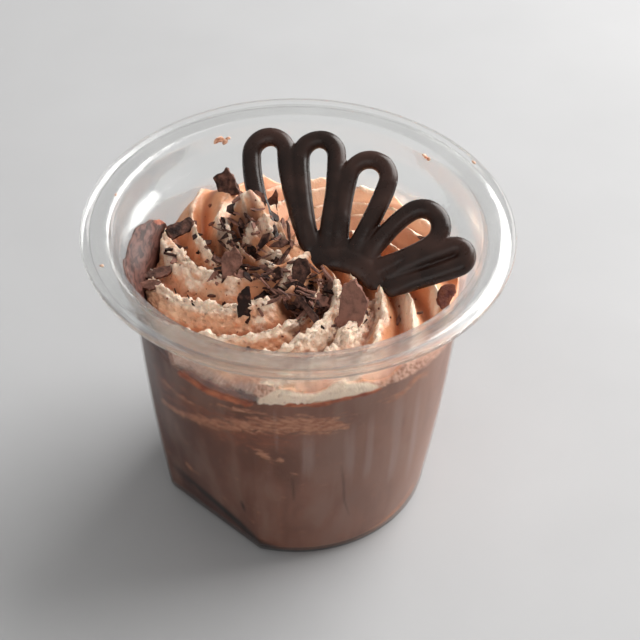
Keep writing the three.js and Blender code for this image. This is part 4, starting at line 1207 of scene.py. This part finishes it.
# %% [markdown]
# ### Broken chocolate
# A broken face is dull and paler than a set one, and brown with a touch of mauve. Every piece carries its own
# shade from 0 to 1, which sets how pale it is. Fine grain covers it.


# %% Finish of the broken chocolate
def broken_finish(name, deep, light):
    """Dull chocolate between two colours: the piece's own shade sets the mean and a grain varies it."""
    finish = Finish(name, deep, 0.6, Specular_IOR_Level=0.22)
    grain = finish.noise(1.4, detail=5.0)
    finish.cover(finish.broken_up(finish.paint("shade"), grain, 1.4, 0.0, 1.0), light)
    finish.use(Base_Color=finish.base, Roughness=finish.between(grain, 0.3, 0.7, 0.5, 0.72))
    finish.bumps(finish.noise(0.6, detail=4.0), 0.2)
    return finish


broken = broken_finish("broken chocolate", colour(34, 15, 11), colour(150, 106, 92))
reddish = broken_finish("reddish chocolate", colour(80, 36, 36), colour(150, 88, 62))
crumbled = broken_finish("chocolate crumbs", colour(96, 50, 38), colour(160, 104, 82))
print("broken chocolate ready")

# %% Break the flakes
for index, (name, shade, at, thick, face, slope, corners) in enumerate(FLAKES):
    points, faces = broken_flake(corners, thick, 100 + 10 * index)
    points = points @ turning(face, slope).T + np.array(at)
    flake = make_piece("broken_" + name, points, faces, {"shade": np.full(len(points), shade)})
    finish_piece(flake, reddish if name == "flake_right" else broken, [name])

# %% [markdown]
# ## Shavings and crumbs
# Small shavings were scattered on the cream, thickest in a heap in front of the fan, and fine crumbs fell
# between them. They all lie on the cream, so each is put at a point of its surface. Each kind is one joined
# mesh, made by turning and shifting one small shape many times in one array.

# %% Where the shavings lie
rng = np.random.default_rng(7)
TOP_START = 1 + BELOW_TOP * CREAM_COLUMNS
lying = cream_points[TOP_START:-1]
lying_normal = normals[BELOW_TOP:].reshape(-1, 3)
STREWN_RADIUS, CLUSTER_FALL = 31, 1.2
SHAVING_CLUSTERS = [  # middle, reach, how many
    ((3.2, -12.6), (6.8, 4.4), 34), ((-14.5, -1), (6, 7), 15), ((-13.5, 5), (5, 6), 5),
    ((-6, -8), (5, 4), 16), ((-27, 4), (6, 11), 3), ((-4.5, 3.5), (5, 3.5), 4),
]
# The grid's points are closer together towards the middle, so each counts for the area round it.
area = np.linalg.norm(lying[:, :2], axis=1) + 0.5


def pick(count, clusters, background):
    """Numbers of different cream points, drawn by chance: a bell over each cluster, by its count, plus a thin
    even spread."""
    chance = np.full(len(lying), background)
    for (x, y), (wide, deep), share in clusters:
        away = ((lying[:, 0] - x) / wide) ** 2 + ((lying[:, 1] - y) / deep) ** 2
        chance += share / (wide * deep) * np.exp(-CLUSTER_FALL * away)
    chance *= area * (area < STREWN_RADIUS)
    return rng.choice(len(lying), count, p=chance / chance.sum(), replace=False)


def random_turns(count, steepest):
    """Rotation matrices: any direction in the plane, tilted by up to steepest degrees any way."""
    turn, way = rng.uniform(0, 2 * np.pi, (2, count))
    tilt = np.radians(steepest) * rng.uniform(0, 1, count) ** 0.8
    return np.array([Matrix.Rotation(w, 3, "Z") @ Matrix.Rotation(s, 3, "X") @ Matrix.Rotation(t, 3, "Z")
                     for w, s, t in zip(way, tilt, turn)])


def strewn(name, shape, faces, sizes, turns, places, shades):
    """One mesh of many copies: shape * size, turned and moved, all as one array. Each copy has its shade."""
    points = np.einsum("nij,nvj->nvi", turns, shape * sizes[:, None, :]) + places[:, None, :]
    offsets = np.arange(len(sizes))[:, None, None] * shape.shape[-2]
    joined_faces = [(part[None] + offsets).reshape(-1, part.shape[1]) for part in faces]
    shade = np.repeat(shades, shape.shape[-2])
    return make_piece(name, points.reshape(-1, 3), joined_faces, {"shade": shade}, smooth=False)


print("points to strew on:", len(lying))


# %% Shapes of a shaving and a crumb
CORNER_ANGLES = np.arange(5) * 72.0
chip_rings = np.stack([polar(0.5, CORNER_ANGLES, -0.5), polar(0.5, CORNER_ANGLES, 0.5)])
chip_points, chip_faces = turned((0, 0, -0.5), chip_rings, (0, 0, 0.5))
crumb_rings = np.stack([polar(0.42, CORNER_ANGLES, -0.25), polar(0.42, CORNER_ANGLES + 36, 0.25)])
crumb_points, crumb_faces = turned((0, 0, -0.5), crumb_rings, (0, 0, 0.5))


def irregular(shape, count, amount, seed):
    """Copies of a shape whose points are each pushed by up to amount of its width, and by less in height.
    The second half of the points is pushed like the first, so the number of points has to be even."""
    pushes = np.random.default_rng(seed).uniform(-amount, amount, (count, len(shape) // 2, 3))
    doubled = np.concatenate([pushes[:, :1], pushes[:, 1:], pushes[:, 1:], pushes[:, :1]], axis=1)
    return shape[None] + doubled * np.array([1, 1, 0.4])


print("chip and crumb:", len(chip_points), len(crumb_points), "points")

# %% Shape of a curl
# A thin four-sided band, bent through 140 degrees and pointed at both ends.
CURL_ROWS, CURL_HALF_BEND, CURL_THIN = 9, 70, 0.25
curl_t = np.linspace(0, 1, CURL_ROWS)
curl_bend = np.radians(lerp(-CURL_HALF_BEND, CURL_HALF_BEND, curl_t))
curl_line = np.stack([0 * curl_t, np.sin(curl_bend) * 0.53, 0.5 - np.cos(curl_bend) * 0.5], axis=-1)
curl_section = np.array([[-0.5, 0.0, 0.0], [0, 0, -0.5], [0.5, 0.0, 0.0], [0, 0, 0.5]]) * [1, 1, CURL_THIN]
curl_taper = np.sqrt(np.sin(np.pi * lerp(0.06, 0.94, curl_t)))
curl_rings = curl_line[:, None, :] + curl_section[None] * curl_taper[:, None, None]
curl_points, curl_faces = turned(curl_line[0], curl_rings, curl_line[-1])
print("curl:", len(curl_points), "points")

# %% Strew the shavings
SHAVINGS, CURLS, CRUMBS = 230, 110, 230
picked = pick(SHAVINGS, SHAVING_CLUSTERS, 0.012)
length = rng.uniform(1.5, 3.6, SHAVINGS) + 2.8 * rng.uniform(0, 1, SHAVINGS) ** 3
sizes = np.stack([length * rng.uniform(0.28, 0.7, SHAVINGS), length, rng.uniform(0.3, 0.55, SHAVINGS)], -1)
raised = lying[picked] + np.array([0, 0, 0.5]) * rng.uniform(0.1, 1.1, SHAVINGS)[:, None]
shavings = strewn("chocolate_shavings", irregular(chip_points, SHAVINGS, 0.24, 8), chip_faces, sizes,
                  random_turns(SHAVINGS, 65), raised, rng.uniform(0.0, 0.8, SHAVINGS))
finish_piece(shavings, broken, [])

# %% Strew the curls
picked = pick(CURLS, SHAVING_CLUSTERS[:4], 0.006)
length = rng.uniform(2.4, 6.0, CURLS)
sizes = np.stack([rng.uniform(0.45, 1.0, CURLS), length, length * rng.uniform(0.1, 0.45, CURLS)], axis=-1)
raised = lying[picked] + np.array([0, 0, 0.5]) * rng.uniform(0.2, 1.6, CURLS)[:, None]
curls = strewn("chocolate_curls", irregular(curl_points, CURLS, 0.05, 9), curl_faces, sizes,
               random_turns(CURLS, 45), raised, rng.uniform(0.0, 0.8, CURLS))
finish_piece(curls, broken, [])

# %% Strew the crumbs
picked = pick(CRUMBS, SHAVING_CLUSTERS[:2], 0.03)
sizes = rng.uniform(0.35, 0.9, (CRUMBS, 1)) * rng.uniform(0.6, 1.2, (CRUMBS, 3))
crumbs = strewn("chocolate_crumbs", irregular(crumb_points, CRUMBS, 0.12, 10), crumb_faces, sizes,
                random_turns(CRUMBS, 180), lying[picked] + lying_normal[picked] * 0.1,
                rng.uniform(0.1, 0.9, CRUMBS))
finish_piece(crumbs, crumbled, [])

# %% [markdown]
# ### Sticks
# The longest shreds lie across the cream and the heap like thin sticks. Each runs between two points, so it
# is a five-sided section carried along a straight line, thinner at both ends and a little crooked.

# %% Lay the sticks
STICKS = [  # one end, other end, width, shade
    ((-14.6, 7.9, 70.9), (-6.0, 7.6, 70.0), 1.2, 0.95),
    ((-15.6, 8.6, 68.8), (-12.6, 5.0, 69.2), 1.0, 0.6),
    ((-12.6, 5.0, 69.2), (-8.1, 5.4, 70.7), 1.0, 0.7),
    ((-2.7, 10.4, 66.7), (-1.7, 3.2, 66.5), 0.8, 0.4),
    ((2.3, -4.1, 66.4), (4.6, -7.3, 66.3), 0.8, 0.4),
    ((5.0, -4.9, 66.6), (8.9, -11.2, 64.9), 1.1, 0.6),
    ((-6.4, -9.5, 63.9), (0.5, -12.4, 64.3), 0.8, 0.5),
    ((0.0, -11.0, 65.7), (5.5, -12.1, 64.2), 0.8, 0.8),
    ((-0.4, -12.2, 65.6), (5.0, -13.2, 64.3), 0.8, 0.6),
    ((1.8, -16.3, 64.9), (3.8, -17.0, 62.6), 0.8, 0.5),
    ((6.1, -20.6, 63.1), (9.4, -18.7, 61.6), 0.8, 0.5),
    ((-18.0, 5.8, 64.6), (-14.7, 1.5, 64.8), 0.8, 0.3),
    ((-16.8, 9.1, 67.2), (-17.6, 6.3, 65.7), 0.7, 0.4),
    ((-4.3, -12.6, 66.7), (-1.7, -13.9, 64.8), 0.8, 0.5),
]
STICK_SIDES, STICK_ROWS, CROOKED, STICK_FLATNESS = 5, 9, 0.3, 0.6


def stick_skin(start, end, width):
    """A straight five-sided rod, made crooked by soft lumps and thinner at both ends by a sine."""
    start, end = np.array(start), np.array(end)
    upward = np.cross(np.cross(end - start, [0, 0, 1.0]), end - start)
    upward /= np.linalg.norm(upward)
    side = np.cross(end - start, upward)
    side /= np.linalg.norm(side)
    t = np.linspace(0, 1, STICK_ROWS)[:, None]
    centre = lerp(start, end, t)
    centre = centre + CROOKED * lumps(centre, 2.2, 81)[:, None] * side
    thick = 0.5 * np.sqrt(np.sin(np.pi * lerp(0.08, 0.92, t))) * width
    angle = np.arange(STICK_SIDES)[:, None] * 2 * np.pi / STICK_SIDES
    section = np.cos(angle) * side + STICK_FLATNESS * np.sin(angle) * upward
    return capped(centre[:, None] + thick[:, None] * section[None])


stick_shades = np.repeat([shade for _, _, _, shade in STICKS], STICK_ROWS * STICK_SIDES + 2)
stick_skins = [stick_skin(start, end, width) for start, end, width, _ in STICKS]
sticks = make_piece("chocolate_sticks", *joined(stick_skins), {"shade": stick_shades}, smooth=False)
finish_piece(sticks, broken, [])

# %% [markdown]
# ## Specks of cream on the neck and the flange
# A few specks of cream stuck to the neck and the flange when the pot was filled. Each is a flat blob: a ball
# squeezed against the plastic, with a ragged outline, which sits just into it.

# %% Dab on the specks
SPECKS = [  # azimuth, radius, height, width round the pot, length up the neck or out on the flange
    (118.4, 39.75, 70.9, 2.8, 2.0),
    (116.3, 39.65, 69.8, 1.2, 1.5),
    (115.0, 39.7, 70.6, 1.3, 0.7),
    (43.9, 39.9, 72.5, 1.5, 1.1),
    (42.0, 39.9, 72.4, 0.9, 1.2),
    (30.4, 46.0, FLANGE_TOP, 1.3, 0.6),
    (167.0, 41.7, FLANGE_TOP, 0.7, 0.5),
    (199.7, 44.1, FLANGE_TOP, 0.7, 0.8),
]
SPECK_DEPTH, SPECK_ROWS, SPECK_SIDES = 0.3, 12, 20


def speck(azimuth, radius, z, width, length, seed):
    """A ball of rows and columns, squeezed to the speck's width, length and depth. On the neck its flat side
    is turned to the wall, and on the flange it lies down."""
    polar_angle = np.radians(np.linspace(12, 168, SPECK_ROWS))[:, None]
    way = np.radians(np.arange(SPECK_SIDES) * 360 / SPECK_SIDES)[None, :]
    ball = np.stack(np.broadcast_arrays(np.sin(polar_angle) * np.cos(way), np.sin(polar_angle) * np.sin(way),
                                        np.cos(polar_angle)), axis=-1)
    ball = ball * (1 + 0.4 * lumps(ball + seed, 0.8, 91))[..., None]
    turn = math.radians(azimuth)
    outward = np.array([math.cos(turn), math.sin(turn), 0])
    along = np.array([-math.sin(turn), math.cos(turn), 0])
    upward = np.array([0, 0, 1.0])
    lengthways, proud = (outward, upward) if z >= FLANGE_TOP else (upward, outward)
    return capped(outward * radius + upward * z + ball[..., :1] * along * width / 2
                  + ball[..., 1:2] * lengthways * length / 2 + ball[..., 2:] * proud * SPECK_DEPTH)


dabbed = Finish("dabbed cream", colour(226, 180, 152), 0.5, Specular_IOR_Level=0.4)
mottled = dabbed.between(dabbed.noise(0.7, detail=3.0), 0.35, 0.65)
dabbed.use(Base_Color=dabbed.blend(mottled, colour(196, 136, 104), colour(250, 214, 190)))
dabbed.bumps(mottled, 0.1)
specks = make_piece("cream_specks", *joined([speck(*values, 5.0 * k) for k, values in enumerate(SPECKS)]))
finish_piece(specks, dabbed, [])

# %% [markdown]
# ## Floor, light and camera
# A plain pale floor and soft light: one large lamp high on the right and a little behind, and a pale sky all
# round. The camera looks down at 39 degrees through a long lens.

# %% Floor
FLOOR_HALF, FLOOR_DROP = 1500.0, 0.05  # the floor stays just under the foot, so that they don't flicker
floor_points = np.array([[x * FLOOR_HALF, y * FLOOR_HALF, -FLOOR_DROP]
                         for x, y in ((-1, -1), (1, -1), (1, 1), (-1, 1))])
floor = make_piece("floor", floor_points, [np.array([[0, 1, 2, 3]])], smooth=False)
pale = Finish("pale floor", (0.455, 0.46, 0.475), 0.7)
pale.use(Base_Color=pale.blend(pale.noise(40.0, detail=4.0), (0.43, 0.435, 0.447), (0.484, 0.489, 0.503)))
floor.data.materials.append(pale.material)
floor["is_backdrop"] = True

# %% Sky
scene = bpy.context.scene
scene.view_settings.view_transform = "Standard"
PALE_LIGHT = (1.0, 0.985, 0.96)
sky = bpy.data.worlds.new("pale sky")
sky.use_nodes = True
background = sky.node_tree.nodes["Background"]
background.inputs["Color"].default_value = (*PALE_LIGHT, 1)
direction = sky.node_tree.nodes.new("ShaderNodeTexCoord")
parts = sky.node_tree.nodes.new("ShaderNodeSeparateXYZ")
sky.node_tree.links.new(direction.outputs["Generated"], parts.inputs[0])
brighter = sky.node_tree.nodes.new("ShaderNodeMapRange")
brighter.interpolation_type = "SMOOTHSTEP"
for socket, value in {"From Min": -0.1, "From Max": 0.9, "To Min": 0.22, "To Max": 0.45}.items():
    brighter.inputs[socket].default_value = value
sky.node_tree.links.new(parts.outputs["Z"], brighter.inputs["Value"])
sky.node_tree.links.new(brighter.outputs[0], background.inputs["Strength"])
scene.world = sky
print("the sky brightens upwards")


# %% Lamps
def softbox(name, at, aim, width, depth, power):
    """A rectangular lamp at a point, turned to face another point; places in millimetres, power in watts."""
    lamp = bpy.data.lights.new(name, "AREA")
    lamp.shape = "RECTANGLE"
    lamp.size = width * MM
    lamp.size_y = depth * MM
    lamp.energy = power
    lamp.color = PALE_LIGHT
    holder = bpy.data.objects.new(name, lamp)
    holder.location = Vector(at) * MM
    facing = Vector(aim) - Vector(at)
    holder.rotation_euler = facing.to_track_quat("-Z", "Y").to_euler()
    scene.collection.objects.link(holder)
    print(name, "lamp shines with", power, "watts")


softbox("room", (-160, -640, 380), (0, 0, 50), 700, 500, 0.9)
softbox("window", (560, 420, 470), (0, 0, 40), 850, 850, 14.2)

# %% Camera
ELEVATION, DISTANCE = math.radians(39.25), 393.2
PAN, TILT, ROLL = math.radians(-0.72), math.radians(-2.95), math.radians(-0.84)
FOCAL_PIXELS, FRAME_PIXELS, SENSOR = 1800.0, 640.0, 36.0
rim_centre = Vector((0, 0, BEAD_HEIGHT))
away = Vector((0, -math.cos(ELEVATION), math.sin(ELEVATION)))
right = Vector((1, 0, 0))
up = right.cross(-away)
ahead = Matrix.Rotation(PAN, 3, up) @ -away
right = Matrix.Rotation(PAN, 3, up) @ right
up = Matrix.Rotation(TILT, 3, right) @ up
ahead = Matrix.Rotation(TILT, 3, right) @ ahead
right = Matrix.Rotation(ROLL, 3, ahead) @ right
up = Matrix.Rotation(ROLL, 3, ahead) @ up
lens = bpy.data.cameras.new("camera")
lens.sensor_width = SENSOR
lens.lens = FOCAL_PIXELS / FRAME_PIXELS * SENSOR
lens.clip_start = 0.01
camera = bpy.data.objects.new("camera", lens)
pose = Matrix((right, up, -ahead)).transposed().to_4x4()
pose.translation = (rim_centre + away * DISTANCE) * MM
camera.matrix_world = pose
scene.collection.objects.link(camera)
scene.camera = camera
print("camera at", tuple(round(v, 4) for v in camera.location))

# %% Measure the boxes
LOOKS_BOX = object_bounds()
sizes = {"cad": [list(corner) for corner in SOLID_BOX], "visual": [list(corner) for corner in LOOKS_BOX]}
print("boxes:", sizes)
